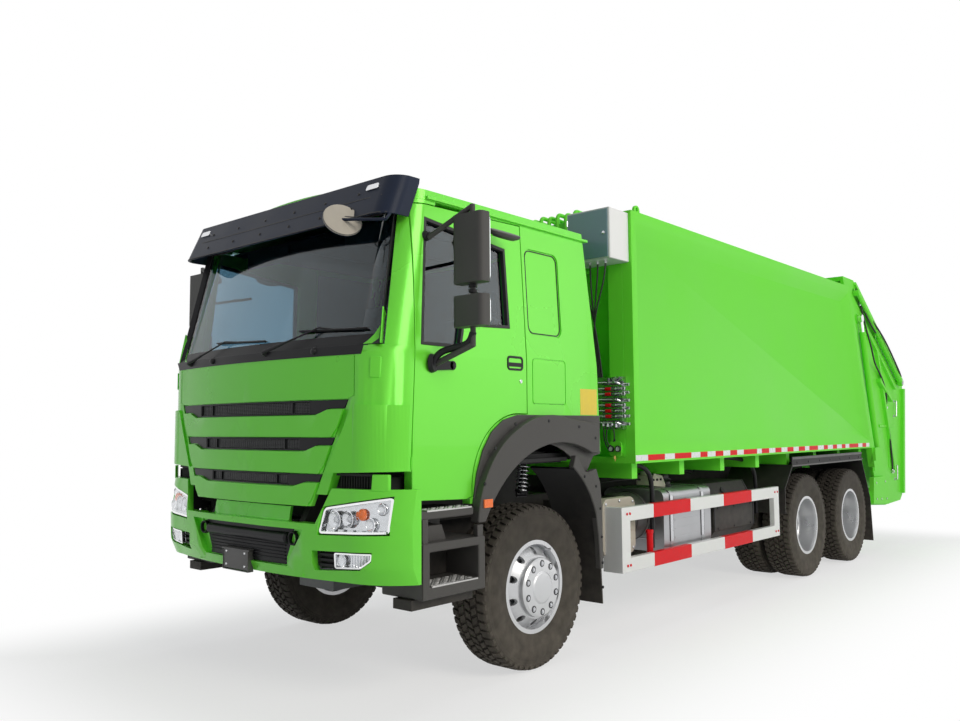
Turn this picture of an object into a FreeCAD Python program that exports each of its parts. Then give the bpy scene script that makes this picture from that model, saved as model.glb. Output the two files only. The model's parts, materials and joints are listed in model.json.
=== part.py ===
"""Rear-loading garbage truck, three axles, built as separate named pieces.

Millimetres, +Z up. The cab faces -Y and +X is the truck's left side.
Heights are above the ground. Lengths along the truck are laid out from the
front axle, and every piece is moved by Y_MID on export, so that the origin
ends up in the middle of the truck's length, on the ground.
"""
import FreeCAD, Part
import math
import os

V = FreeCAD.Vector
os.makedirs("parts", exist_ok=True)

# ---------------------------------------------------------------- sizes
SEAT = 0.3                  # gap left between pieces that move on each other
MOVE = 6.0                  # gap round doors, panels and the tailgate

FRONT_OVERHANG = 1490.0     # bumper's nose ahead of the front axle
REAR_OVERHANG = 8330.0      # tailgate's rear corner behind the front axle
Y_MID = (REAR_OVERHANG - FRONT_OVERHANG) / 2.0

# wheels and axles
TYRE_R = 535.0
TYRE_W = 300.0
BEAD_R = 290.0
RIM_HALF = 128.0
WHEELBASE = 4600.0
TANDEM = 1350.0
FRONT_WHEEL_X = 1020.0
TWIN_OUTER_X = 1080.0
TWIN_INNER_X = 740.0
KINGPIN_X = 870.0
KINGPIN_R = 25.0
HUB_R = 150.0
HAND_HOLE_R = 23.0
HAND_HOLES_AT = 231.0
COVER_R = 197.0             # cover over the front hub and its nuts
DRUM_R = 205.0
SPINDLE_R = 55.0
REAR_AXLES = (WHEELBASE, WHEELBASE + TANDEM)

# ladder frame
RAIL_OUT = 425.0
RAIL_FLANGE = 80.0
RAIL_T = 12.0
RAIL_Z0 = 740.0
RAIL_Z1 = 1040.0
RAIL_Y0 = -1290.0
RAIL_Y1 = 6560.0
GEARBOX_REAR = 1050.0

# load body
BODY_HALF = 1250.0
BODY_WALL = 85.0
BODY_Y0 = 1117.0
BODY_Z0 = 1300.0
BODY_Z1 = 3250.0
FLOOR_T = 45.0
BEARER_H = 120.0
POCKET_D = 60.0
POST_W = 117.0              # leaning rear posts of the body
LEG_Z = 1060.0              # their legs end here
SEAM_TOP_Y = 6060.0
SEAM_TOP_Z = 3380.0
SEAM_LEAN = 0.36            # rearward run of the tailgate joint per mm down
EJECTOR_Y0 = 1330.0

# tailgate
GATE_HALF = BODY_HALF - 62.0
GATE_PLATE = 40.0
GATE_TOP = 3380.0
GATE_PIVOT_Y = 6130.0
GATE_PIVOT_Z = 3345.0
SILL_Z = 1150.0             # loading edge of the hopper
SLIDE_RUN = 850.0
SLIDE_DIP = math.radians(32.75)
SLIDE_DY = math.cos(SLIDE_DIP)
SLIDE_DZ = -math.sin(SLIDE_DIP)
BLADE_Y = 6845.0            # packer blade's hinge with the slide up
BLADE_Z = 1930.0
BLADE_L = 650.0
BLADE_DIP = math.radians(-82)
RAM_X = BODY_HALF - 16.0    # cylinders outside the tailgate's side plates
RAM_R = 36.0

# cab
CAB_HALF = 1170.0
CAB_WALL = 60.0
CAB_FLOOR_Z = 1350.0
BELT_Z = 2050.0
ROOF_Z = 2935.0
TILT_Y = -1350.0
TILT_Z = 1000.0
TILT_ARM_X = 450.0
TILT_ARM_T = 50.0
PANEL_TOP = 1990.0          # the front panel's hinge line
DOOR_Y0 = -1140.0
DOOR_Y1 = -95.0
CAB_REAR_Y = 767.0
WIDE = 1240.0               # bumper, steps and flares reach this far out


# ---------------------------------------------------------------- helpers
def box(x0, x1, y0, y1, z0, z1):
    return Part.makeBox(x1 - x0, y1 - y0, z1 - z0, V(x0, y0, z0))


def outline(points, place):
    """Closed face from points; an item ("arc", mid, end) is a round stretch."""
    edges = []
    here = place(*points[0])
    for item in points[1:]:
        if item[0] == "arc":
            end = place(*item[2])
            edges.append(Part.Arc(here, place(*item[1]), end).toShape())
        else:
            end = place(*item)
            edges.append(Part.LineSegment(here, end).toShape())
        here = end
    start = place(*points[0])
    if here.distanceToPoint(start) > 1e-6:
        edges.append(Part.LineSegment(here, start).toShape())
    return Part.Face(Part.Wire(edges))


def side_plate(points, x0, x1):
    """Profile drawn in (y, z), as thick as from x0 to x1."""
    return outline(points, lambda y, z: V(x0, y, z)).extrude(V(x1 - x0, 0, 0))


def front_plate(points, y0, y1):
    """Profile drawn in (x, z), as deep as from y0 to y1."""
    return outline(points, lambda x, z: V(x, y0, z)).extrude(V(0, y1 - y0, 0))


def plan_plate(points, z0, z1):
    """Profile drawn in (x, y), as high as from z0 to z1."""
    return outline(points, lambda x, y: V(x, y, z0)).extrude(V(0, 0, z1 - z0))


def rod_x(x0, x1, y, z, r):
    return Part.makeCylinder(r, x1 - x0, V(x0, y, z), V(1, 0, 0))


def rod_between(p, q, r):
    d = q.sub(p)
    return Part.makeCylinder(r, d.Length, p, d)


def mirrored(shape):
    return shape.mirror(V(0, 0, 0), V(1, 0, 0))


def joined(shapes):
    whole = shapes[0]
    for s in shapes[1:]:
        whole = whole.fuse(s)
    return whole.removeSplitter()


def save(name, shapes):
    """Write one piece, or like pieces that don't touch, as parts/NAME.step."""
    solids = []
    for s in shapes:
        solids.extend(s.Solids)
    whole = solids[0] if len(solids) == 1 else Part.makeCompound(solids)
    whole = whole.copy()
    whole.translate(V(0, -Y_MID, 0))
    if not whole.isValid() or whole.Volume < 1.0:
        print("bad shape:", name)
    whole.exportStep("parts/" + name + ".step")


def pair(shape):
    """The piece and its twin on the other side."""
    return [shape, mirrored(shape)]


def spun(points, x=0.0):
    """Ring or disc about the X axis from its profile in (along, radius)."""
    face = outline(points, lambda a, r: V(x + a, 0, r))
    return face.revolve(V(0, 0, 0), V(1, 0, 0), 360)


def rounded(a0, a1, b0, b1, r):
    """Points of a rectangle whose corners are rounded to radius r."""
    k = r * (1.0 - math.sqrt(0.5))
    return [(a0 + r, b0), (a1 - r, b0), ("arc", (a1 - k, b0 + k), (a1, b0 + r)),
            (a1, b1 - r), ("arc", (a1 - k, b1 - k), (a1 - r, b1)),
            (a0 + r, b1), ("arc", (a0 + k, b1 - k), (a0, b1 - r)),
            (a0, b0 + r), ("arc", (a0 + k, b0 + k), (a0 + r, b0))]


def seam_y(z):
    """Plane where the tailgate meets the body."""
    return SEAM_TOP_Y + (SEAM_TOP_Z - z) * SEAM_LEAN


# ---------------------------------------------------------------- wheels
def tyre(x):
    """Tyre about the X axis at wheel height, centred on x."""
    half = TYRE_W / 2.0
    bead = RIM_HALF - 13.0
    wide = BEAD_R + 0.45 * (TYRE_R - BEAD_R)
    ring = spun([(-bead, BEAD_R), (bead, BEAD_R), (bead, BEAD_R + 25), (half, wide),
                 (half - 14, TYRE_R - 24), (half - 34, TYRE_R), (-half + 34, TYRE_R),
                 (-half + 14, TYRE_R - 24), (-half, wide), (-bead, BEAD_R + 25)], x)
    ring.translate(V(0, 0, TYRE_R))
    return ring


def rim(x, mount_x, out):
    """Barrel with flanges and a dished disc with ten hand holes.

    mount_x is the disc's bolting face, out is +1 where the disc bulges to
    the outside (+X) and -1 where it is set in.
    """
    t = 10.0
    low = BEAD_R - 22.0
    barrel = spun(
        [(-RIM_HALF, low + 6), (-RIM_HALF, BEAD_R + 12), (-RIM_HALF + 12, BEAD_R + 12),
         (-RIM_HALF + 12, BEAD_R - SEAT), (RIM_HALF - 12, BEAD_R - SEAT),
         (RIM_HALF - 12, BEAD_R + 12), (RIM_HALF, BEAD_R + 12),
         (RIM_HALF, low + 6), (RIM_HALF - 30, low), (-RIM_HALF + 30, low)], x)
    root = x + out * (RIM_HALF - 70.0)
    disc = spun(
        [(root, low + 2), (root, low - 12), (mount_x - out * t, HUB_R + 40),
         (mount_x - out * t, 60), (mount_x, 60), (mount_x, HUB_R + 52),
         (root + out * 14, low + 2)])
    count = 10
    for i in range(count):
        a = 2 * math.pi * (i + 0.5) / count
        c = V(min(root, mount_x) - 60, HAND_HOLES_AT * math.cos(a), HAND_HOLES_AT * math.sin(a))
        disc = disc.cut(Part.makeCylinder(HAND_HOLE_R, abs(root - mount_x) + 120, c, V(1, 0, 0)))
    whole = barrel.fuse(disc)
    whole.translate(V(0, 0, TYRE_R))
    return whole


def front_wheel():
    """Rim, hub and drum of the left front wheel, and its tyre."""
    mount = FRONT_WHEEL_X + 145.0
    hub = rod_x(KINGPIN_X + 60, mount - 10, 0, TYRE_R, HUB_R - 20)
    drum = rod_x(KINGPIN_X + 60, KINGPIN_X + 225, 0, TYRE_R, DRUM_R)
    cover = spun([(-40, 0), (-40, COVER_R), (30, COVER_R - 5), (42, COVER_R - 20),
                  (42, 105), (50, 92), (50, 0)], mount)
    cover.translate(V(0, 0, TYRE_R))
    bore = rod_x(KINGPIN_X + 50, mount - 60, 0, TYRE_R, SPINDLE_R + SEAT)
    steel = joined([rim(FRONT_WHEEL_X, mount, 1), hub, drum, cover]).cut(bore)
    return tyre(FRONT_WHEEL_X), steel


def twin_wheel():
    """Rims, hub and drum of a left rear pair, and its two tyres."""
    mount = (TWIN_OUTER_X + TWIN_INNER_X) / 2.0
    outer = rim(TWIN_OUTER_X, mount + 10, -1)
    inner = rim(TWIN_INNER_X, mount, 1)
    hub = rod_x(TWIN_INNER_X - 60, mount + 150, 0, TYRE_R, HUB_R - 30)
    drum = rod_x(TWIN_INNER_X - 90, mount - 5, 0, TYRE_R, DRUM_R)
    plate = rod_x(mount - 6, mount + 4, 0, TYRE_R, HUB_R + 20)
    bore = rod_x(TWIN_INNER_X - 120, mount + 110, 0, TYRE_R, SPINDLE_R + 15 + SEAT)
    steel = joined([outer, inner, hub, drum, plate]).cut(bore)
    return [tyre(TWIN_OUTER_X), tyre(TWIN_INNER_X)], steel


def make_wheels():
    rubber, steel = front_wheel()
    save("front_tyre_left", [rubber])
    save("front_rim_left", [steel])
    save("front_tyre_right", [mirrored(rubber)])
    save("front_rim_right", [mirrored(steel)])
    rubbers, steel = twin_wheel()
    for number, y in enumerate(REAR_AXLES, 1):
        for side in ("left", "right"):
            tyres = rubbers if side == "left" else [mirrored(s) for s in rubbers]
            metal = steel if side == "left" else mirrored(steel)
            tyres = [s.copy() for s in tyres]
            metal = metal.copy()
            for s in tyres + [metal]:
                s.translate(V(0, y, 0))
            save("rear_tyres_%d_%s" % (number, side), tyres)
            save("rear_rims_%d_%s" % (number, side), [metal])


# ---------------------------------------------------------------- axles
BOSS_HALF = 60.0            # half the height of the axle's kingpin boss
FORK_T = 45.0
CASING_R = 85.0


def make_front_axle():
    z = TYRE_R
    beam = front_plate(
        [(-KINGPIN_X, z - 45), (-700, z - 70), (-560, z - 170), (560, z - 170),
         (700, z - 70), (KINGPIN_X, z - 45), (KINGPIN_X, z + 45), (720, z + 25),
         (540, z - 70), (-540, z - 70), (-720, z + 25), (-KINGPIN_X, z + 45)], -45, 45)
    for x in (-KINGPIN_X, KINGPIN_X):
        boss = Part.makeCylinder(48, 2 * BOSS_HALF, V(x, 0, z - BOSS_HALF), V(0, 0, 1))
        beam = beam.fuse(boss)
    for x in (-KINGPIN_X, KINGPIN_X):
        hole = Part.makeCylinder(KINGPIN_R + SEAT, 300, V(x, 0, z - 150), V(0, 0, 1))
        beam = beam.cut(hole)
    save("front_axle", [beam.removeSplitter()])


def make_knuckles():
    z = TYRE_R
    x = KINGPIN_X
    h = BOSS_HALF + SEAT
    top = box(x - 50, x + 90, -50, 50, z + h, z + h + FORK_T)
    low = box(x - 50, x + 90, -50, 50, z - h - FORK_T, z - h)
    back = box(x + 52, x + 60 - SEAT * 2, -80, 80, z - h - FORK_T, z + h + FORK_T)
    pin = Part.makeCylinder(KINGPIN_R, 2 * (h + FORK_T), V(x, 0, z - h - FORK_T), V(0, 0, 1))
    spindle = rod_x(x + 52, FRONT_WHEEL_X + 60, 0, z, SPINDLE_R)
    clear = box(x + 60 - SEAT, x + 100, -90, 90, z - 300, z + 300)
    fork = joined([top, low]).cut(clear)
    whole = joined([fork, back, pin, spindle])
    save("knuckle_left", [whole])
    save("knuckle_right", [mirrored(whole)])


def make_rear_axles():
    pieces = []
    mount = (TWIN_OUTER_X + TWIN_INNER_X) / 2.0
    for y in REAR_AXLES:
        tube = rod_x(-mount - 90, mount + 90, y, TYRE_R, SPINDLE_R + 15)
        casing = rod_x(-560, 560, y, TYRE_R, CASING_R)
        banjo = Part.makeCylinder(205, 110, V(0, y - 55, TYRE_R), V(0, 1, 0))
        for way in (-1, 1):
            dome = Part.makeCone(205, 120, 95, V(0, y + way * 55, TYRE_R), V(0, way, 0))
            banjo = banjo.fuse(dome)
        nose = Part.makeCylinder(110, 300, V(0, y, TYRE_R + 30), V(0, -1, 0))
        pieces.extend([tube, casing, banjo, nose])
    front, rear = REAR_AXLES
    end = box(-70, 70, GEARBOX_REAR + SEAT, GEARBOX_REAR + 60, 730, 870)
    shaft = rod_between(V(0, GEARBOX_REAR + 30, 800), V(0, front - 290, TYRE_R + 60), 55)
    link = rod_between(V(0, front + 150, TYRE_R + 30), V(0, rear - 290, TYRE_R + 30), 50)
    save("rear_axles", [joined(pieces + [end, shaft, link])])


def leaf_pack(y_mid, half, z_mid, rise, x, width, leaves):
    """Arched spring leaves, each shorter than the one above or below it."""
    thick = 14.0
    step = 13.0                 # leaves lie on each other and are one solid
    whole = None
    for i in range(leaves):
        run = half * (1.0 - 0.11 * i)
        drop = rise * (run / half) ** 2
        z = z_mid - step * i
        leaf = outline(
            [(y_mid - run, z + drop), ("arc", (y_mid, z), (y_mid + run, z + drop)),
             (y_mid + run, z + drop + thick),
             ("arc", (y_mid, z + thick), (y_mid - run, z + drop + thick))],
            lambda y, h: V(x - width / 2, y, h)).extrude(V(width, 0, 0))
        whole = leaf if whole is None else whole.fuse(leaf)
    return whole.removeSplitter()


def make_springs():
    front = leaf_pack(0, 780, TYRE_R - 4, 120, RAIL_OUT + 50, 90, 5)
    seat = box(RAIL_OUT + 2, RAIL_OUT + 98, -70, 70, TYRE_R - 70, TYRE_R - 40)
    hanger_f = box(RAIL_OUT, RAIL_OUT + 95, -830, -730, TYRE_R + 85, RAIL_Z0 + 80)
    hanger_r = box(RAIL_OUT, RAIL_OUT + 95, 730, 830, TYRE_R + 85, RAIL_Z0 + 80)
    front = joined([front, seat, hanger_f, hanger_r])
    mid = (REAR_AXLES[0] + REAR_AXLES[1]) / 2.0
    rear = leaf_pack(mid, TANDEM / 2 + 40, 730, -60, RAIL_OUT + 55, 100, 6)
    saddle = box(RAIL_OUT, RAIL_OUT + 105, mid - 90, mid + 90, 560, 760)
    block_1 = box(RAIL_OUT + 10, RAIL_OUT + 100, REAR_AXLES[0] - 60, REAR_AXLES[0] + 60,
                  TYRE_R + CASING_R + SEAT, 690)
    block_2 = block_1.copy()
    block_2.translate(V(0, TANDEM, 0))
    rear = joined([rear, saddle, block_1, block_2])
    save("leaf_springs", pair(front) + pair(rear))


# ---------------------------------------------------------------- chassis
def make_frame():
    inner = RAIL_OUT - RAIL_FLANGE
    rail = box(inner, RAIL_OUT, RAIL_Y0, RAIL_Y1, RAIL_Z0, RAIL_Z1)
    hollow = box(inner - 1, RAIL_OUT - RAIL_T, RAIL_Y0 - 1, RAIL_Y1 + 1,
                 RAIL_Z0 + RAIL_T, RAIL_Z1 - RAIL_T)
    beam = box(inner, RAIL_OUT, BODY_Y0 + 60, RAIL_Y1, RAIL_Z1, BODY_Z0 - BEARER_H)
    ear = box(RAIL_OUT - RAIL_T, RAIL_OUT + 10, TILT_Y - 55, RAIL_Y0 + 60, TILT_Z - 55, TILT_Z + 40)
    pin = rod_x(RAIL_OUT, RAIL_OUT + 90, TILT_Y, TILT_Z, 20)
    rail = joined([rail.cut(hollow), beam, ear, pin])
    save("frame_rails", pair(rail))
    members = []
    web = RAIL_OUT - RAIL_T
    ends = (RAIL_Y0 + 50, RAIL_Y1 - 80)
    middles = [BODY_Y0 + 133 + i * 1050 for i in range(3)]
    for y in (*ends, *middles, WHEELBASE - 550, WHEELBASE + TANDEM / 2):
        m = box(-web, web, y - 45, y + 45, RAIL_Z0 + 135, RAIL_Z1 - RAIL_T)
        m = m.cut(box(-web - 1, web + 1, y - 30, y + 50, RAIL_Z0 + 150, RAIL_Z1 - 30))
        members.append(m)
    save("crossmembers", members)


def make_engine():
    block = box(-300, 300, -1130, 120, 700, 1290)
    sump = box(-180, 180, -900, 60, 520, 700)
    gearbox = box(-190, 190, 120, GEARBOX_REAR, 690, 1090)
    web = RAIL_OUT - RAIL_T
    mounts = box(-web, web, -760, -660, 850, 930)
    rear_mounts = box(-web, web, 560, 640, 850, 910)
    save("engine", [joined([block, sump, gearbox, mounts, rear_mounts])])


def make_tanks():
    r = 60.0
    tank = side_plate(
        [(1735, 560), (2560, 560), (2560, 1060), (1735, 1060)], 560, 1130)
    edges = [e for e in tank.Edges if abs(e.Vertexes[0].Y - e.Vertexes[1].Y) > 500]
    tank = tank.makeFillet(r, edges)
    for y in (1860, 2400):
        strap = box(555, 1135, y - 25, y + 25, 555, 1065)
        edges = [e for e in strap.Edges if abs(e.Vertexes[0].Y - e.Vertexes[1].Y) > 40]
        tank = tank.fuse(strap.makeFillet(r, edges))
        tank = tank.fuse(box(RAIL_OUT, 600, y - 40, y + 40, 600, 960))
    save("fuel_tank", [tank.removeSplitter()])

    case = box(RAIL_OUT + 130, 1040, 905, 1375, 595, 960)
    arm = box(RAIL_OUT, RAIL_OUT + 130, 960, 1320, 760, 900)
    lid = box(RAIL_OUT + 120, 1048, 890, 1390, 960, 1010)
    case_r = joined([case, arm, lid])
    tanks = [case_r]
    for z in (640, 900):
        air = Part.makeCylinder(120, 790, V(-700, 690, z), V(0, 1, 0))
        carrier = box(-700, -RAIL_OUT, 1200, 1280, z + 20, z + 60)
        tanks.append(air.fuse(carrier) if z > 800 else air)
    tanks[1:] = [joined([tanks[1], tanks[2], box(-740, -660, 1380, 1460, 700, 900)])]
    save("battery_box", tanks)

    shell = outline(
        [(600, 560), (1060, 560), (1120, 640), (1120, 860), (1010, 1060), (600, 1060)],
        lambda x, z: V(x, 2640, z)).extrude(V(0, 840, 0))
    arm = box(RAIL_OUT, 600, 2800, 3300, 780, 980)
    save("exhaust_box", [joined([shell, arm])])


GUARD_Y0 = 950.0
GUARD_Y1 = 3840.0
GUARD_Z0 = 500.0
GUARD_Z1 = 980.0
GUARD_X = 1225.0
GUARD_T = 50.0


def make_guards():
    rail_h = 105.0
    post = 120.0
    x0 = GUARD_X - GUARD_T
    plate = box(x0, GUARD_X, GUARD_Y0, GUARD_Y1, GUARD_Z0, GUARD_Z1)
    window = box(x0 - 1, GUARD_X + 1, GUARD_Y0 + post, GUARD_Y1 - post,
                 GUARD_Z0 + rail_h, GUARD_Z1 - rail_h)
    back = box(x0 - 120, x0, GUARD_Y0, GUARD_Y0 + 50, GUARD_Z0, GUARD_Z1)
    arms = []
    for y in (1540, 3640):
        arms.append(box(RAIL_OUT, x0, y - 30, y + 30, GUARD_Z1 - 80, GUARD_Z1 - 30))
    save("side_guards", pair(joined([plate.cut(window), back] + arms)))


def make_mudguards():
    # behind the front wheels
    rear_front = side_plate(
        [(330, 1290), ("arc", (540, 1060), (625, 700)), (650, 335), (662, 335),
         (640, 700), ("arc", (556, 1066), (345, 1302))], 860, WIDE)
    hold = rod_x(RAIL_OUT, 865, 600, 900, 22)
    front = joined([rear_front, hold])
    # round the twin wheels: a front apron, a top shelf and a rear flap
    first, last = REAR_AXLES
    z = BODY_Z0 - 90
    apron = side_plate([(first - 430, z - 33), (first - 640, z - 260), (first - 640, 700),
                        (first - 628, 700), (first - 628, z - 264),
                        (first - 420, z - 45)], 590, WIDE)
    shelf = box(590, WIDE, first - 430, last + 370, z - 45, z - 33)
    edge = box(WIDE - 14, WIDE, first - 430, last + 370, z - 45, z + 50)
    flap = side_plate([(last + 358, z - 33), (last + 370, z - 33), (last + 640, 700),
                       (last + 700, 170), (last + 688, 170), (last + 628, 700)], 590, WIDE)
    bar_1 = rod_x(RAIL_OUT, 700, first - 634, 900, 22)
    bar_2 = rod_x(RAIL_OUT, 700, last + 560, 856, 22)
    rear = joined([apron, shelf, edge, flap, bar_1, bar_2])
    save("mudguards", pair(front) + pair(rear))


LAMP_BAY = [(705, 975), (1160, 990), (1165, 1203), (735, 1135)]
FOG_BAY = [(668, 772), (1000, 795), (1070, 845), (1075, 897), (662, 885)]
FOG_LENS_X = 815.0
BUMPER_TOP = 1238.0
LEDGE_Z = 1035.0


def bumper_form(inset, rear):
    """Left half of the bumper's outer form, its front moved in by inset."""
    # columns: z, how far the front lies back there
    rows = [(715.0, 50.0), (810.0, 8.0), (LEDGE_Z, 0.0), (BUMPER_TOP, 34.0)]
    wires = []
    for z, back in rows:
        y0 = -FRONT_OVERHANG + back + inset
        wide = WIDE - inset
        edges = [
            Part.Arc(V(0, y0, z), V(560, y0 + 22, z), V(900 - inset / 2, y0 + 75, z)).toShape(),
            Part.Arc(V(900 - inset / 2, y0 + 75, z), V(1130 - inset * 0.8, y0 + 160, z),
                     V(wide, y0 + 280 - inset, z)).toShape(),
            Part.LineSegment(V(wide, y0 + 280 - inset, z), V(wide, rear, z)).toShape(),
            Part.LineSegment(V(wide, rear, z), V(0, rear, z)).toShape(),
            Part.LineSegment(V(0, rear, z), V(0, y0, z)).toShape(),
        ]
        wires.append(Part.Wire(edges))
    return joined([Part.makeLoft([low, high], True, True) for low, high in zip(wires[:-1], wires[1:])])


def make_bumper():
    y0 = -FRONT_OVERHANG
    outer = bumper_form(0, -1140)
    shell = outer.cut(bumper_form(40, -1130))
    # between the lamps the top steps down to a ledge with a set-back upstand
    low_top = front_plate([(-10, LEDGE_Z), (690, LEDGE_Z), (790, 1260), (-10, 1260)], y0 - 10, -1000)
    upstand = bumper_form(62, -1140).cut(bumper_form(80, -1130))
    upstand = upstand.common(box(0, TILT_ARM_X - 45, y0, -1150, LEDGE_Z - 40, 1118))
    ledge = outer.common(box(0, 735, y0, y0 + 95, LEDGE_Z - 12, LEDGE_Z))
    shell = joined([shell.cut(low_top), upstand, ledge])
    # way through for the cab's tilting arms
    shell = shell.cut(box(TILT_ARM_X - 45, TILT_ARM_X + TILT_ARM_T + 20, y0 + 50, -1150,
                          LEDGE_Z - 60, LEDGE_Z + 100))
    # lamp, fog lamp and middle air openings
    lamp = front_plate(LAMP_BAY, y0 - 10, -1180)
    fog = front_plate(FOG_BAY, y0 - 10, -1200)
    air = front_plate([(-10, 775), (440, 775), (595, 998), (-10, 998)], y0 - 10, y0 + 55)
    shell = shell.cut(lamp).cut(fog).cut(air)
    beam = box(-RAIL_OUT - 60, RAIL_OUT + 60, y0 + 70, RAIL_Y0 - 30, 790, 900)
    bars = []
    for x in (-385, 385):
        bars.append(box(x - 30, x + 30, y0 + 100, RAIL_Y0, 760, 900))
    web = box(-560, 560, y0 + 60, y0 + 75, 725, 1000)
    whole = joined([shell, mirrored(shell), beam, web] + bars)
    save("bumper", [whole])
    glass = outer.cut(bumper_form(40, -1130)).common(bumper_form(10, -1140))
    lamp = front_plate(LAMP_BAY, y0 - 10, -1182).common(glass)
    fog = front_plate(FOG_BAY, y0 - 10, -1202).common(glass)
    fog = fog.common(box(FOG_LENS_X, WIDE, y0 - 10, -1100, 700, 950))
    save("headlamps", pair(lamp) + pair(fog))


def make_steps():
    y0 = -1130.0
    y1 = -600.0
    block = box(900, WIDE, y0, y1, 620, 930)
    hollow = box(960, WIDE + 1, y0 + 60, y1 - 60, 690, 880)
    upper = box(930, WIDE - 20, y0, y1 - 80, 1060, 1110)
    wall = box(900, 940, y0, y1 - 80, 620, 1110)
    arm = box(RAIL_OUT, 905, -900, -840, 860, 920)
    save("steps", pair(joined([block.cut(hollow), upper, wall, arm])))


# ---------------------------------------------------------------- load body
def make_body():
    inner = BODY_HALF - BODY_WALL
    gap = 3.0
    rear = [(seam_y(BODY_Z0) - gap, BODY_Z0), (seam_y(BODY_Z1) - gap, BODY_Z1)]
    wall = side_plate([(BODY_Y0, BODY_Z0)] + rear + [(BODY_Y0, BODY_Z1)], inner, BODY_HALF)
    # pressed pocket with sloping sides: columns are its depth and how far its bottom,
    # top, front and rear edges lie in from the wall's own
    rings = []
    for depth, low, high, front, back in ((POCKET_D, 180, 195, 115, POST_W + 130),
                                          (0, 75, 90, 75, POST_W)):
        x = BODY_HALF - depth
        z0 = BODY_Z0 + low
        z1 = BODY_Z1 - high
        y0 = BODY_Y0 + front
        pts = [V(x, y0, z0), V(x, seam_y(z0) - back, z0), V(x, seam_y(z1) - back, z1), V(x, y0, z1)]
        rings.append(Part.makePolygon(pts + [pts[0]]))
    wall = wall.cut(Part.makeLoft(rings, True, True))
    # leg of the rear post below the floor
    leg = side_plate([(seam_y(BODY_Z0) - POST_W, BODY_Z0 + 10), (seam_y(LEG_Z) - POST_W, LEG_Z),
                      (seam_y(LEG_Z) - gap, LEG_Z), (seam_y(BODY_Z0 + 10) - gap, BODY_Z0 + 10)],
                     BODY_HALF - 75, BODY_HALF)
    eye = side_plate([(BODY_Y0 + 90, BODY_Z1), ("arc", (BODY_Y0 + 127, BODY_Z1 + 60),
                      (BODY_Y0 + 165, BODY_Z1))], BODY_HALF - 40, BODY_HALF - 20)
    eye = eye.cut(rod_x(inner, BODY_HALF, BODY_Y0 + 127, BODY_Z1 + 28, 16))
    # inward frame at the rear edge, which the tailgate closes on
    frame = side_plate([(seam_y(BODY_Z0) - gap - 80, BODY_Z0)] + rear + [
        (seam_y(BODY_Z1) - gap - 80, BODY_Z1)], inner - 50, inner)
    frame = frame.common(box(0, inner, 0, 9000, BODY_Z0 + FLOOR_T, BODY_Z1 - 50))
    by, bz = LIFT_BASE
    root = seam_y(bz) - POST_W
    wing = side_plate([(root + 5, bz + 70), (root + 5, bz - 90), (by - 20, bz - 55),
                       ("arc", (by + 50, bz), (by - 10, bz + 52)), (by - 100, bz + 75)],
                      BODY_HALF + 23, BODY_HALF + 33)
    pad = side_plate([(root + 5, bz + 70), (root + 5, bz - 90), (root + POST_W - 15, bz - 80),
                      (root + POST_W - 35, bz + 70)], BODY_HALF - 5, BODY_HALF + 28)
    pin = rod_x(RAM_X - 28, BODY_HALF + 25, by, bz, LIFT_PIN_R)
    wall = joined([wall, leg, eye, frame, wing, pad, pin])
    save("body_sides", pair(wall))

    floor = side_plate([(BODY_Y0, BODY_Z0), (seam_y(BODY_Z0) - gap, BODY_Z0),
                        (seam_y(BODY_Z0 + FLOOR_T) - gap, BODY_Z0 + FLOOR_T),
                        (BODY_Y0, BODY_Z0 + FLOOR_T)], -inner, inner)
    bearers = []
    count = 8
    for i in range(count):
        y = BODY_Y0 + 120 + i * (6500 - BODY_Y0 - 120) / (count - 1)
        bearers.append(box(-inner, inner, y - 40, y + 40, BODY_Z0 - BEARER_H, BODY_Z0))
    save("body_floor", [joined([floor] + bearers)])

    top = BODY_Z1
    low = BODY_Z1 - 50
    roof = side_plate([(BODY_Y0, low), (seam_y(low) - gap, low),
                       (seam_y(top) - gap, top), (BODY_Y0, top)], -inner, inner)
    ears = []
    for x in (-900, -820, 820, 900):
        ear = side_plate([(GATE_PIVOT_Y - 230, top), (GATE_PIVOT_Y - 45, top),
                          (GATE_PIVOT_Y + 32, GATE_PIVOT_Z - 18),
                          ("arc", (GATE_PIVOT_Y, GATE_PIVOT_Z + 38), (GATE_PIVOT_Y - 38, GATE_PIVOT_Z))],
                         x - 12, x + 12)
        ears.append(ear)
    pins = [rod_x(-910, -810, GATE_PIVOT_Y, GATE_PIVOT_Z, 20),
            rod_x(810, 910, GATE_PIVOT_Y, GATE_PIVOT_Z, 20)]
    save("body_roof", [joined([roof] + ears + pins)])

    z0 = BODY_Z0 + FLOOR_T
    z1 = low
    post = 135.0
    deep = 150.0
    plan = [(-inner, BODY_Y0), (-inner + post, BODY_Y0), (-inner + post, BODY_Y0 + deep),
            (inner - post, BODY_Y0 + deep), (inner - post, BODY_Y0), (inner, BODY_Y0),
            (inner, BODY_Y0 + deep + 50), (-inner, BODY_Y0 + deep + 50)]
    save("body_front", [plan_plate(plan, z0, z1)])

    case = box(BODY_HALF - 410, BODY_HALF - 25, BODY_Y0 - 270, BODY_Y0, BODY_Z1 - 410, BODY_Z1 - 20)
    save("control_box", [case])

    valves = [box(BODY_HALF - 290, BODY_HALF - 70, BODY_Y0 - 60, BODY_Y0, 1560, 1960)]
    for i in range(6):
        z = 1600 + i * 60
        valves.append(rod_x(BODY_HALF - 75, BODY_HALF - 25, BODY_Y0 - 30, z, 12))
    save("valve_bank", [joined(valves)])


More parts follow.
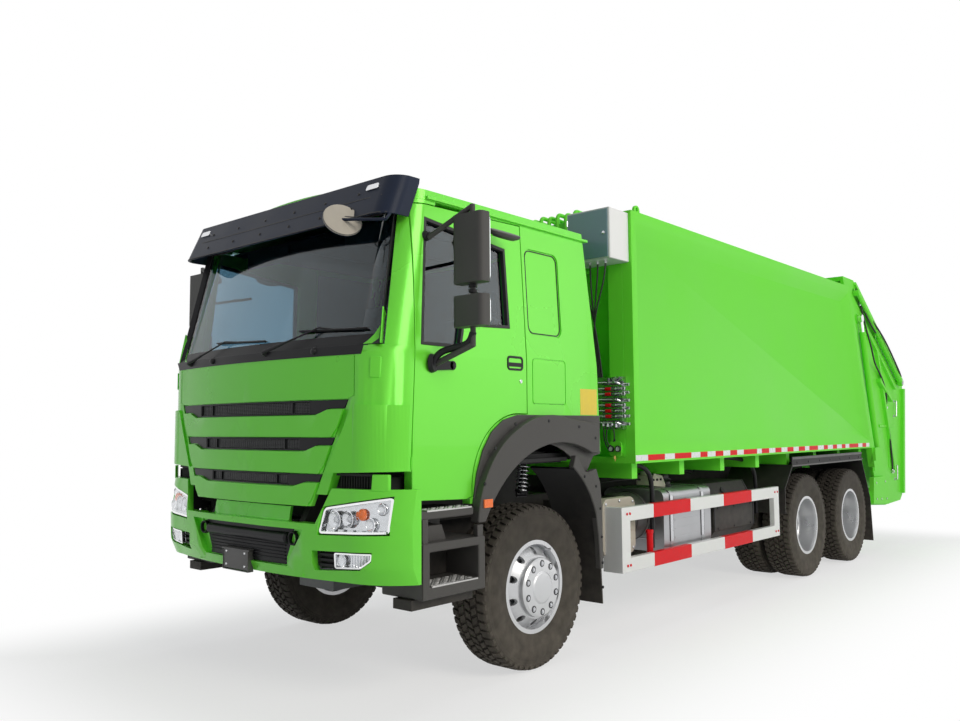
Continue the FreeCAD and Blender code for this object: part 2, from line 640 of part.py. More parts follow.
def make_ejector():
    inner = BODY_HALF - BODY_WALL - 8
    z0 = BODY_Z0 + FLOOR_T + 8
    z1 = BODY_Z1 - 50 - 12
    y0 = EJECTOR_Y0 + 20
    face = y0 + 700
    lean = SEAM_LEAN
    t = 60.0
    plate = side_plate([(face, z0), (face + t, z0), (face + t - (z1 - z0) * lean, z1),
                        (face - (z1 - z0) * lean, z1)], -inner, inner)
    foot = box(-inner, -inner + 120, y0, face + 5, BODY_Z0 + FLOOR_T + SEAT, z0 + 120)
    brace = side_plate([(y0, z0 + 100), (face, z0 + 100), (face - 300, z0 + 1000)], -inner, -inner + 60)
    whole = joined([plate, foot, mirrored(foot), brace, mirrored(brace)])
    save("ejector", [whole])


# ---------------------------------------------------------------- tailgate
GATE_REAR = [(8110, 640), (REAR_OVERHANG, 2170)]
SLOPE_TOP = (6440.0, 3376.0)


def gate_rear_y(z):
    """Rear edge of the side plates at height z."""
    (y0, z0), (y1, z1) = GATE_REAR
    return y0 + (y1 - y0) * (z - z0) / (z1 - z0)


def along_slide(y, z, run):
    return (y + run * SLIDE_DY, z + run * SLIDE_DZ)


RAM_FOOT = (8080.0, 2163.0)         # pin of the slide cylinder's fixed end
RAM_SHUT = 1090.0
RAM_EYE = along_slide(RAM_FOOT[0], RAM_FOOT[1], -RAM_SHUT - SLIDE_RUN)


def band(p, q, half):
    """Outline of a straight band with half width half, from p to q in (y, z)."""
    length = math.hypot(q[0] - p[0], q[1] - p[1])
    ny = -(q[1] - p[1]) / length * half
    nz = (q[0] - p[0]) / length * half
    return [(p[0] - ny, p[1] - nz), (q[0] - ny, q[1] - nz),
            (q[0] + ny, q[1] + nz), (p[0] + ny, p[1] + nz)]


def make_tailgate():
    gap = 3.0
    out = GATE_HALF
    inner = GATE_HALF - GATE_PLATE
    z_low = 760.0
    top_y = seam_y(GATE_TOP) + gap
    side = [(top_y, GATE_TOP), (seam_y(z_low) + gap, z_low), (6640, z_low), (6640, 596),
            (7330, 550), (8010, 570)] + GATE_REAR + [SLOPE_TOP]
    plate = side_plate(side, inner, out)
    slot_0 = along_slide(RAM_EYE[0], RAM_EYE[1], -60)
    slot_1 = along_slide(RAM_EYE[0], RAM_EYE[1], SLIDE_RUN + 60)
    plate = plate.cut(side_plate(band(slot_0, slot_1, 45), inner - 1, out + 1))
    boss = rod_x(out, RAM_X - 24 - MOVE, LIFT_EYE[0], LIFT_EYE[1], 60)
    foot = rod_x(out, RAM_X + 30, RAM_FOOT[0], RAM_FOOT[1], 24)
    # stiffening: rear flange, slope flange, a rib below the slide and a leaning one,
    # and the box at the foot.  Columns: outline in (y, z), how far it stands out
    rail = 202.0                # the rib runs this far below the slide cylinder
    rib_y0 = 6780.0
    rib_y1 = 7900.0

    def under(y):
        return RAM_FOOT[1] + (y - RAM_FOOT[0]) * math.tan(-SLIDE_DIP) - rail
    lean_y = 7180.0
    ribs = [
        ([(gate_rear_y(660) - 70, 660), (gate_rear_y(660) - 2, 660), (gate_rear_y(2080) - 2, 2080),
          (gate_rear_y(2080) - 70, 2080)], 40),
        (band((SLOPE_TOP[0] + 20, SLOPE_TOP[1] - 38), (REAR_OVERHANG - 25, 2178), 20), 24),
        (band((rib_y0, under(rib_y0)), (rib_y1, under(rib_y1)), 22), 38),
        (band((lean_y, under(lean_y)), (lean_y + (under(lean_y) - 980) * SEAM_LEAN, 980), 28), 38),
        ([(6720, 610), (7330, 566), (7330, 800), (7180, 930), (6760, 930)], 52),
    ]
    stiffeners = [side_plate(points, out - 1, out + proud) for points, proud in ribs]
    # cover over the mechanism, sloping to the rear
    cover = side_plate([(top_y, GATE_TOP), SLOPE_TOP, (REAR_OVERHANG, 2170),
                        (REAR_OVERHANG - 14, 2110), (6430, 3326), (top_y + 20, 3330)],
                       -inner, inner)
    lugs = []
    for x in (-860, 860):
        lugs.append(side_plate(
            [(GATE_PIVOT_Y - 33, GATE_PIVOT_Z),
             ("arc", (GATE_PIVOT_Y, GATE_PIVOT_Z - 34), (GATE_PIVOT_Y + 34, GATE_PIVOT_Z - 15)),
             (6330, 3320), (6330, GATE_TOP - 2), (GATE_PIVOT_Y + 20, GATE_TOP - 2)], x - 26, x + 26))
    notch = box(-925, -795, 6000, GATE_PIVOT_Y + 70, 3270, 3400)
    cover = cover.cut(notch).cut(mirrored(notch))
    half = joined([plate, boss, foot] + stiffeners)
    whole = joined([half, mirrored(half), cover] + lugs)
    for x in (-900, 800):
        whole = whole.cut(rod_x(x, x + 100, GATE_PIVOT_Y, GATE_PIVOT_Z, 20 + SEAT))
    save("tailgate_frame", [whole])

    # hopper floor: a trough round the blade's lower hinge place
    cy, cz = along_slide(BLADE_Y, BLADE_Z, SLIDE_RUN)
    r = BLADE_L + 40.0
    t = 30.0
    sill = math.asin((SILL_Z - cz) / r)
    back = math.radians(-125)
    low = math.radians(-80)

    def on(radius, ang):
        return (cy + radius * math.cos(ang), cz + radius * math.sin(ang))
    front = (seam_y(BODY_Z0) + gap, BODY_Z0 + FLOOR_T - 8)
    trough = side_plate(
        [front, on(r, back), ("arc", on(r, low), on(r, sill)), on(r + t, sill),
         ("arc", on(r + t, low), on(r + t, back)), (front[0], front[1] - t - 20)], -inner, inner)
    lip_y = gate_rear_y(SILL_Z)
    skirt = side_plate([(on(r, sill)[0] + 10, SILL_Z), (lip_y, SILL_Z), (gate_rear_y(660), 660),
                        (gate_rear_y(660) - 30, 660), (lip_y - 30, SILL_Z - 50)], -inner, inner)
    beam = box(-inner, inner, 6660, 6800, RAIL_Z0 - 130, RAIL_Z0)
    save("hopper", [joined([trough, skirt]), beam])


def make_mechanism():
    half = GATE_HALF - GATE_PLATE - 10
    t = 80.0
    top_z = RAM_EYE[1] - 60
    top_y = BLADE_Y - (top_z - BLADE_Z) * SEAM_LEAN
    plate = side_plate([(BLADE_Y - t / 2 - 20, BLADE_Z + 60), (BLADE_Y + t / 2 - 20, BLADE_Z + 60),
                        (top_y + t / 2, top_z), (top_y - t / 2, top_z)], -half, half)
    lugs = []
    for x in (-700, 0, 700):
        lugs.append(side_plate([(BLADE_Y - 70, BLADE_Z + 110), (BLADE_Y + 30, BLADE_Z + 110),
                                (BLADE_Y + 45, BLADE_Z), ("arc", (BLADE_Y, BLADE_Z - 45),
                                                          (BLADE_Y - 45, BLADE_Z))],
                               x - 30, x + 30))
    pin = rod_x(-740, 740, BLADE_Y, BLADE_Z, 25)
    arm = side_plate(band((top_y - 20, top_z - 80), (RAM_EYE[0] + 20, RAM_EYE[1]), 45), half - 60, half)
    stud = rod_x(half - 10, RAM_X + 22, RAM_EYE[0], RAM_EYE[1], 36)
    end = along_slide(RAM_EYE[0], RAM_EYE[1], SLIDE_RUN + 120)
    ram = rod_between(V(RAM_X, RAM_EYE[0], RAM_EYE[1]), V(RAM_X, end[0], end[1]), 24)
    side = joined([arm, stud, ram])
    save("slide_panel", [joined([plate, pin, side, mirrored(side)] + lugs)])

    tube_0 = along_slide(RAM_FOOT[0], RAM_FOOT[1], -RAM_SHUT + 70)
    tube = rod_between(V(RAM_X, tube_0[0], tube_0[1]),
                       V(RAM_X, RAM_FOOT[0], RAM_FOOT[1]), RAM_R)
    core_1 = along_slide(RAM_FOOT[0], RAM_FOOT[1], -60)
    core_0 = along_slide(RAM_FOOT[0], RAM_FOOT[1], -RAM_SHUT)
    core = rod_between(V(RAM_X, core_0[0], core_0[1]), V(RAM_X, core_1[0], core_1[1]), 24 + SEAT)
    eye = rod_x(RAM_X - 26, RAM_X + 26, RAM_FOOT[0], RAM_FOOT[1], 50)
    tube = joined([tube, eye]).cut(core)
    tube = tube.cut(rod_x(RAM_X - 60, RAM_X + 60, RAM_FOOT[0], RAM_FOOT[1], 24))
    save("slide_cylinders", pair(tube))

    dy = math.cos(BLADE_DIP)
    dz = math.sin(BLADE_DIP)

    def on(along, across):
        return (BLADE_Y + along * dy - across * dz, BLADE_Z + along * dz + across * dy)
    blade = side_plate([on(-40, -35), on(-40, 40), on(120, 55), on(BLADE_L, 14),
                        on(BLADE_L, -14), on(120, -45)], -half, half)
    for x in (-700, 0, 700):
        blade = blade.cut(box(x - 36, x + 36, BLADE_Y - 110, BLADE_Y + 110,
                              BLADE_Z - 75, BLADE_Z + 200))
    blade = blade.cut(rod_x(-900, 900, BLADE_Y, BLADE_Z, 25 + SEAT))
    save("packer_blade", [blade])


LIFT_BASE = (6960.0, 1230.0)
LIFT_EYE = (6520.0, 2900.0)
LIFT_PIN_R = 22.0


def make_lift():
    by, bz = LIFT_BASE
    ey, ez = LIFT_EYE
    length = math.hypot(ey - by, ez - bz)
    uy = (ey - by) / length
    uz = (ez - bz) / length
    x = RAM_X

    def at(run):
        return V(x, by + uy * run, bz + uz * run)
    tube_l = length - 170
    lug = rod_x(x - 26, x + 26, by, bz, 50)
    barrel = joined([rod_between(at(0), at(tube_l), RAM_R), lug])
    barrel = barrel.cut(rod_between(at(90), at(tube_l + 50), 24 + SEAT))
    barrel = barrel.cut(rod_x(x - 60, x + 60, by, bz, LIFT_PIN_R + SEAT))
    save("lift_barrels", pair(barrel))
    rod = rod_between(at(110), at(length), 24)
    eye = rod_x(x - 24, x + 24, ey, ez, 48)
    save("lift_rods", pair(joined([rod, eye])))


# ---------------------------------------------------------------- cab
def cab_form(inset):
    """Outer form of the cab, its faces moved in by inset."""
    # columns: z, half width, rear y, side front y, front half width, its y, middle y
    table = [
        (950.0, 1170.0, 790.0, -1130.0, 930.0, -1375.0, -1455.0),
        (2010.0, 1170.0, 735.0, -1130.0, 930.0, -1375.0, -1455.0),
        (2050.0, 1168.0, 733.0, -1110.0, 930.0, -1335.0, -1405.0),
        (3250.0, 1100.0, 620.0, -950.0, 870.0, -1010.0, -1065.0),
    ]
    parts = []
    wires = []
    for z, half, rear, side_y, front_half, front_y, mid_y in table:
        w = half - inset
        f = front_half - inset * 0.6
        yr = rear - inset
        ys = side_y + inset * 0.5
        yf = front_y + inset * 0.85
        ym = mid_y + inset
        cx = (w + f) / 2 + 50 * (w - f) / 240
        cy = (ys + yf) / 2 - 45 * (w - f) / 240
        edges = [
            Part.LineSegment(V(-w, yr, z), V(w, yr, z)).toShape(),
            Part.LineSegment(V(w, yr, z), V(w, ys, z)).toShape(),
            Part.Arc(V(w, ys, z), V(cx, cy, z), V(f, yf, z)).toShape(),
            Part.Arc(V(f, yf, z), V(0, ym, z), V(-f, yf, z)).toShape(),
            Part.Arc(V(-f, yf, z), V(-cx, cy, z), V(-w, ys, z)).toShape(),
            Part.LineSegment(V(-w, ys, z), V(-w, yr, z)).toShape(),
        ]
        wires.append(Part.Wire(edges))
    for low, high in zip(wires[:-1], wires[1:]):
        parts.append(Part.makeLoft([low, high], True, True))
    return joined(parts)


DOOR = [(DOOR_Y0 - 4, 1197), (DOOR_Y0 + 22, 1167), (-690, 1150), (-640, 1165),
        ("arc", (-480, 1560), (DOOR_Y1 - 60, 1668)), (DOOR_Y1, 1668), (DOOR_Y1, 2925),
        (DOOR_Y0 + 64, 2905), (DOOR_Y0 - 4, 1450)]
DOOR_HINGE_X = 1170.0
DOOR_HINGE_Y = DOOR_Y0 - 10.0
WINDOW = [(-1070, 2060), (-725, 2060), (-690, 2200), (-250, 2219), (-262, 2745), (-1000, 2830)]


def grown(points, by):
    """The outline moved outwards by a gap, as a face in (y, z)."""
    face = outline(points, lambda y, z: V(0, y, z))
    return face.makeOffset2D(by)


def panel_outline(grow):
    """Front panel's outline in (x, z)."""
    g = grow
    top = PANEL_TOP if g else PANEL_TOP - SEAT
    return [(-615 - g, 1130 - g), (615 + g, 1130 - g), (895 + g, 1750), (935 + g, 1765),
            (935 + g, top), (-935 - g, top), (-935 - g, 1765), (-895 - g, 1750)]


def make_cab():
    outer = cab_form(0)
    wall = cab_form(CAB_WALL)
    shell = outer.cut(wall)
    far = 2000.0

    # doors
    door_face = outline(DOOR, lambda y, z: V(1000, y, z))
    slab = door_face.extrude(V(400, 0, 0))
    door = shell.common(slab).common(box(1000, far, -far, far, 0, 4000))
    window = side_plate(WINDOW, 900, 1400)
    door = door.cut(window).cut(side_plate(rounded(-292, -140, 1952, 2036, 30), CAB_HALF - 22, far))
    glass_form = cab_form(26).cut(cab_form(34))
    pane = glass_form.common(window).common(box(1000, far, -far, far, 0, 4000))
    save("door_left", [door])
    save("door_right", [mirrored(door)])
    save("door_glass_left", [pane])
    save("door_glass_right", [mirrored(pane)])

    gap_face = grown(DOOR, MOVE)
    hole = gap_face.copy()
    hole.translate(V(900, 0, 0))
    hole = hole.extrude(V(600, 0, 0))
    mirror_hole = mirrored(hole)

    # fixed side behind the door and the windscreen pillars
    arch = side_plate([(-590, 900), (-590, 1010), ("arc", (0, 1462), (560, 1400)), (900, 1400), (900, 900)],
                      900, 1400)
    rear_side = shell.common(box(1000, far, -660, CAB_REAR_Y - CAB_WALL - 60, 1120, ROOF_Z))
    rear_side = rear_side.cut(hole).cut(arch)
    # storage hatch, drawn by a groove, and the recess of a blind window
    hatch = side_plate(rounded(-35, 343, 1728, 2040, 30), CAB_HALF - 6, far)
    hatch = hatch.cut(side_plate(rounded(-27, 335, 1736, 2032, 24), CAB_HALF - 10, far))
    blind = cab_form(-10).cut(cab_form(9)).common(
        side_plate(rounded(-60, 319, 2196, 2787, 60), 1000, far))
    rear_side = rear_side.cut(hatch).cut(blind)
    keep = side_plate([(-1500, BELT_Z), (-1000, BELT_Z), (-900, ROOF_Z), (-1500, ROOF_Z)], 1000, far)
    pillar = shell.common(keep).cut(hole)
    view = screen_prism(0)
    pillar = pillar.cut(view)
    save("cab_sides", pair(rear_side) + pair(pillar))

    # floor, rear wall and roof
    floor_form = cab_form(CAB_WALL + SEAT)
    floor = floor_form.common(box(-far, far, -1330, CAB_REAR_Y, CAB_FLOOR_Z, CAB_FLOOR_Z + 50))
    arms = []
    for s in (1, -1):
        arm = side_plate([(TILT_Y - 40, TILT_Z), ("arc", (TILT_Y, TILT_Z - 40), (TILT_Y + 35, TILT_Z - 20)),
                          (-1180, 1180), (-1080, CAB_FLOOR_Z), (-1230, CAB_FLOOR_Z), (-1290, 1180),
                          (TILT_Y - 30, TILT_Z + 30)], TILT_ARM_X, TILT_ARM_X + TILT_ARM_T)
        arm = arm.cut(rod_x(400, 600, TILT_Y, TILT_Z, 20 + SEAT))
        arms.append(arm if s > 0 else mirrored(arm))
    save("cab_floor", [joined([floor] + arms)])
    rear = shell.common(box(-far, far, CAB_REAR_Y - CAB_WALL - 60, far, 1400, ROOF_Z))
    save("cab_rear", [rear])
    crown = front_plate([(-1180, ROOF_Z), (1180, ROOF_Z), (1180, 2985),
                         ("arc", (0, 3110), (-1180, 2985))], -far, far)
    hollow = front_plate([(-1060, ROOF_Z - 1), (1060, ROOF_Z - 1), (1060, ROOF_Z + 10),
                          ("arc", (0, 3065), (-1060, ROOF_Z + 10))], -970, 560)
    roof = outer.common(crown).cut(hollow)
    gutter = box(1085, 1138, -985, 690, ROOF_Z + 4, ROOF_Z + 22)
    save("cab_roof", [joined([roof, gutter, mirrored(gutter)])])

    # front wall with its corners, and the panel that swings up in front of it
    front = shell.common(box(-far, far, -far, -1000, 1200, BELT_Z)).cut(hole).cut(mirror_hole)
    pocket_form = cab_form(-5).cut(cab_form(36))
    pocket = pocket_form.common(front_plate(panel_outline(MOVE), -far, -1200))
    low_cut = box(-far, far, -far, far, 0, 1180).fuse(
        front_plate([(700, 1100), (1400, 1100), (1400, 1335), (790, 1335)], -far, -1000))
    low_cut = low_cut.fuse(mirrored(low_cut))
    front = front.cut(pocket).cut(low_cut)
    # raised corner panels beside the swinging one
    fairing = cab_form(-16).cut(cab_form(12)).common(
        front_plate([(738, 1325), (942, 1714), (1400, 1700), (1400, 1346)], -far, -1172))
    front = joined([front, fairing, mirrored(fairing)])
    for s in (1, -1):
        pin = Part.makeCylinder(MOVE - SEAT, 70, V(s * DOOR_HINGE_X, DOOR_HINGE_Y, 1345), V(0, 0, 1))
        front = front.fuse(pin)
    save("cab_front", [front])
    face = outer.common(front_plate(panel_outline(0), -far, -1200))
    panel = face.cut(cab_form(26))
    proud = cab_form(-12).cut(cab_form(20))
    # grille slots: z of the top, of the shallow ends and of the deep middle, half widths
    # of the top, the ends and the middle
    slots = [(1748.0, 1688.0, 1655.0, 896.0, 868.0, 650.0),
             (1531.0, 1478.0, 1445.0, 797.0, 772.0, 560.0),
             (1320.0, 1265.0, 1240.0, 702.0, 676.0, 465.0)]
    foot_z = 1130.0
    step = 100.0                # run of the slanting step between end and middle
    for i, (top, end, deep, w_top, w_end, w_deep) in enumerate(slots):
        stepped = [(-w_end, end), (-w_deep - step, end), (-w_deep, deep),
                   (w_deep, deep), (w_deep + step, end), (w_end, end)]
        panel = panel.cut(cab_form(-40).cut(cab_form(14)).common(
            front_plate(stepped + [(w_top + 20, top), (-w_top - 20, top)], -far, -1200)))
        panel = panel.cut(front_plate([(-w_deep + 12, deep + 10), (w_deep - 12, deep + 10),
                                       (w_deep - 12, top - 10), (-w_deep + 12, top - 10)], -far, -1200))
        # the slat below the slot stands out, its lower corners cut off
        below, w_below = (slots[i + 1][0], slots[i + 1][3]) if i + 1 < len(slots) else (foot_z, 612.0)
        slat = stepped + [(w_below + 22, below + 50), (w_below - 22, below), (-w_below + 22, below),
                          (-w_below - 22, below + 50)]
        panel = panel.fuse(proud.common(front_plate(slat, -far, -1200)))
    panel = panel.removeSplitter()
    save("front_panel", [panel])

    glass = cab_form(8).cut(cab_form(18))
    save("windscreen", [glass.common(screen_prism(-SEAT))])


def screen_prism(grow):
    """Opening of the windscreen, seen from the front."""
    g = grow
    return front_plate([(-1085 - g, BELT_Z + 4 - g), (1085 + g, BELT_Z + 4 - g),
                        (1015 + g, 2905 + g), (-1015 - g, 2905 + g)], -2000, -900)


def make_cab_trim():
    # sun visor: a shield ahead of the windscreen's top edge, its ends wrapped round
    thick = 16.0
    bend = 110.0

    def ring(z, y, half):
        edges = []
        for t, way in ((0.0, 1), (thick, -1)):
            side = half - t
            front = y + t
            pts = [V(-side, y + 190, z), V(-side, y + bend, z), V(-half + bend, front, z),
                   V(half - bend, front, z), V(side, y + bend, z), V(side, y + 190, z)]
            cut = (bend - t) * (1.0 - math.sqrt(0.5))
            mids = [V(-side + cut, front + cut, z), V(side - cut, front + cut, z)]
            run = [Part.LineSegment(pts[0], pts[1]), Part.Arc(pts[1], mids[0], pts[2]),
                   Part.LineSegment(pts[2], pts[3]), Part.Arc(pts[3], mids[1], pts[4]),
                   Part.LineSegment(pts[4], pts[5])]
            edges.extend([e.toShape() for e in run[::way]])
        ends = [Part.LineSegment(V(s * half, y + 190, z), V(s * (half - thick), y + 190, z)).toShape()
                for s in (-1, 1)]
        return Part.Wire(Part.__sortEdges__(edges + ends))
    visor = Part.makeLoft([ring(2812, -1300, 1105), ring(3062, -1190, 1095)], True, True)
    arms = []
    for x in (-800, 800):
        arms.append(box(x - 15, x + 15, -1222, -1040, 2960, 2980))
    # look-down mirror on its arm under the left end
    disc = Part.makeCylinder(118, 14, V(803, -1360, 2791), V(0.765, -0.323, 0.458))
    stalk = rod_between(V(812, -1364, 2797), V(1095, -1280, 2768), 9)
    stay = rod_between(V(1095, -1280, 2768), V(1078, -1222, 2826), 9)
    visor = joined([visor, disc, stalk, stay] + arms).cut(cab_form(-0.3))
    save("sun_visor", [max(visor.Solids, key=lambda s: s.Volume)])

    # flares over the front wheels
    flare = side_plate(
        [(-659, 1010), (-590, 1010), ("arc", (0, 1452), (560, 1395)), (650, 1389), (650, 1600),
         (300, 1636), ("arc", (-60, 1644), (-300, 1552)), ("arc", (-553, 1324), (-659, 1010))],
        CAB_HALF, WIDE)
    save("wheel_flares", pair(flare))

    dash = side_plate([(-1250, 1560), (-930, 1560), (-860, 1700), (-900, 1950), (-1250, 2010)],
                      -1080, 1080)
    dash = dash.common(cab_form(CAB_WALL))
    column = rod_between(V(560, -900, 1800), V(560, -720, 1990), 35)
    wheel = spun([(-16, 206), (0, 199), (16, 206), (16, 224), (0, 231), (-16, 224)])
    wheel.rotate(V(0, 0, 0), V(0, 0, 1), 90)
    wheel.rotate(V(0, 0, 0), V(1, 0, 0), 46.5)
    wheel.translate(V(560, -710, 2000))
    spoke_1 = rod_between(V(345, -710, 2000), V(775, -710, 2000), 14)
    hub = rod_between(V(560, -735, 1972), V(560, -700, 2010), 60)
    save("dashboard", [joined([dash, column, wheel, spoke_1, hub])])

    seats = []
    for x in (-560, 560):
        base = box(x - 200, x + 200, -430, 0, 1400, 1720)
        cushion = side_plate([(-500, 1720), (20, 1720), (20, 1830), (-440, 1850), (-500, 1820)],
                             x - 250, x + 250)
        back = side_plate([(-40, 1780), (90, 1780), (170, 2350), (90, 2370)], x - 240, x + 240)
        head = side_plate([(95, 2390), (170, 2390), (190, 2560), (120, 2570)], x - 140, x + 140)
        neck = box(x - 40, x + 40, 110, 150, 2340, 2400)
        seats.append(joined([base, cushion, back, head, neck]))
    bunk = box(-1080, 1080, 260, 620, 1780, 1900).fuse(box(-900, 900, 320, 600, 1400, 1780))
    seats.append(bunk.removeSplitter())
    save("seats", seats)


def make_mirrors():
    # main mirror, lower wide mirror and their arms, carried by the door
    housings = []
    for z0, z1 in ((2400, 2800), (2150, 2330)):
        case = box(1330, 1560, -985, -895, z0, z1)
        upright = [e for e in case.Edges if abs(e.Vertexes[0].Z - e.Vertexes[1].Z) > 100]
        housings.append(case.makeFillet(30, upright))
    top = rod_between(V(1150, -990, 2700), V(1445, -930, 2850), 16)
    bottom = rod_between(V(1172, -960, 1950), V(1445, -930, 2050), 18)
    post = rod_between(V(1445, -930, 2040), V(1445, -930, 2860), 16)
    whole = joined(housings + [top, bottom, post]).cut(cab_form(0))
    whole = max(whole.Solids, key=lambda s: s.Volume)
    save("mirrors_left", [whole])
    save("mirrors_right", [mirrored(whole)])


make_wheels()
make_front_axle()
make_knuckles()
make_rear_axles()
make_springs()
make_frame()
make_engine()
make_tanks()
make_guards()
make_mudguards()
make_bumper()
make_steps()
make_body()
make_ejector()
make_tailgate()
make_mechanism()
make_lift()
make_cab()
make_cab_trim()
make_mirrors()
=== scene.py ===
"""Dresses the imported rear-loading garbage truck.

Metres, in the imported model's own frame: the cab faces -Y, +X is the truck's
left side and Z is the height above the ground. Lengths along the truck are
counted from the front axle and moved by AXLE_Y.
"""
import json
import math

import bmesh
import bpy
from bpy.props import FloatProperty, FloatVectorProperty, IntProperty, PointerProperty
from bpy.types import Operator, Panel, PropertyGroup
from mathutils import Matrix, Vector
from mathutils.bvhtree import BVHTree

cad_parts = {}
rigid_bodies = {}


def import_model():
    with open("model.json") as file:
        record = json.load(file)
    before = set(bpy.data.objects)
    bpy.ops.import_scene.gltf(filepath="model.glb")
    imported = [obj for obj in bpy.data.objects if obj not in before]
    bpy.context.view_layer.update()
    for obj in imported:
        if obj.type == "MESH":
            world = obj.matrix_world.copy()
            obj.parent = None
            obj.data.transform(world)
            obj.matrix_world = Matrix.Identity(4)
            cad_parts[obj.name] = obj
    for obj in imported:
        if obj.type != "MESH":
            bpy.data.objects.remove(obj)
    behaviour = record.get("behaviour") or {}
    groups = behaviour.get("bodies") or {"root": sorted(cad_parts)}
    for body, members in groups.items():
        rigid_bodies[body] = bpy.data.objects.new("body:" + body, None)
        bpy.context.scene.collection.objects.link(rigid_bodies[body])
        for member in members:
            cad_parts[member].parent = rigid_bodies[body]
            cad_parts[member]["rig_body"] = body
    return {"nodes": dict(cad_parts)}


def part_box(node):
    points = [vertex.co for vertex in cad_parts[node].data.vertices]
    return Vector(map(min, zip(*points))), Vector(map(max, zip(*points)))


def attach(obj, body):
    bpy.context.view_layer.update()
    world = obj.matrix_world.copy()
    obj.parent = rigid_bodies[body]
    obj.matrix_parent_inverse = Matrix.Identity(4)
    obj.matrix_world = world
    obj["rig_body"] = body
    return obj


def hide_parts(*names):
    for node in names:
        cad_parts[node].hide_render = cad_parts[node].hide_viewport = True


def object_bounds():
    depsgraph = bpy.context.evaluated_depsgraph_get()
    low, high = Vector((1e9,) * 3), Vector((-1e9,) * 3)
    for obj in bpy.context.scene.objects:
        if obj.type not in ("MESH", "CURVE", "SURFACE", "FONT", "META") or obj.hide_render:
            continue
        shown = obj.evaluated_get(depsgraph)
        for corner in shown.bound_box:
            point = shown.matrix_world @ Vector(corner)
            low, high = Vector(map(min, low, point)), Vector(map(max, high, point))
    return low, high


bl_info = {
    "name": "Garbage truck dress", "version": (1, 0, 0), "blender": (4, 5, 0),
    "location": "View3D > Sidebar > Truck",
    "description": "Finishes and detail pieces of a three-axle rear loader",
    "category": "Object",
}

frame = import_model()
CAD_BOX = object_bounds()

SKINS = {}


# ------------------------------------------------------------ places
def middle(node):
    """Centre of a node's box."""
    lo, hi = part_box(node)
    return (lo + hi) / 2


AXLE_Y = middle("front_tyre_left").y
TYRE_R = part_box("front_tyre_left")[1].z / 2
SIDES = ("left", "right")
SIGN = {"left": 1, "right": -1}
REAR_WHEELS = ("rear_wheels_1", "rear_wheels_2")


def at(x, y, z):
    """A point whose y is counted from the front axle."""
    return Vector((x, AXLE_Y + y, z))


# ------------------------------------------------------------ settings
class TruckSettings(PropertyGroup):
    body_colour: FloatVectorProperty(
        name="Body colour", description="Paint of the cab, load body and tailgate",
        subtype="COLOR", size=3, min=0.0, max=1.0, default=(0.165, 0.78, 0.045))
    plastic_colour: FloatVectorProperty(
        name="Plastic colour", description="Flares, steps and mirror housings",
        subtype="COLOR", size=3, min=0.0, max=1.0, default=(0.062, 0.06, 0.058))
    band_colour: FloatVectorProperty(
        name="Band colour", description="Red bands on the side guard and the tape",
        subtype="COLOR", size=3, min=0.0, max=1.0, default=(0.74, 0.008, 0.014))
    tread_depth: FloatProperty(
        name="Tread depth", description="Height of the tread blocks",
        subtype="DISTANCE", min=0.004, max=0.03, default=0.014)
    tread_pitches: IntProperty(
        name="Tread pitches", description="Blocks round a tyre in one row",
        min=20, max=90, default=56)
    tape_height: FloatProperty(
        name="Tape height", description="Height of the reflective tape",
        subtype="DISTANCE", min=0.02, max=0.1, default=0.045)
    light_level: FloatProperty(
        name="Light level", description="Strength of the studio lamps",
        min=0.1, max=5.0, default=1.0)


def settings():
    return bpy.context.scene.truck_dress


# ------------------------------------------------------------ finishes
DUST_COLOUR = (0.32, 0.28, 0.23, 1.0)
WHITE = (1.0, 1.0, 1.0, 1.0)


def feed(tree, made, inputs):
    """Sets a shader node's inputs to values, or links them to other nodes' sockets."""
    for key, value in inputs.items():
        if isinstance(value, bpy.types.NodeSocket):
            tree.links.new(value, made.inputs[key])
        else:
            made.inputs[key].default_value = value


def node(tree, kind, output, inputs=None, **traits):
    """Adds a shader node and gives the socket it works out."""
    made = tree.nodes.new("ShaderNode" + kind)
    for trait, value in traits.items():
        setattr(made, trait, value)
    feed(tree, made, inputs or {})
    return made.outputs[output]


def maths(tree, operation, first, second=None):
    """Adds a sum of one or two values."""
    inputs = {0: first} if second is None else {0: first, 1: second}
    return node(tree, "Math", "Value", inputs, operation=operation)


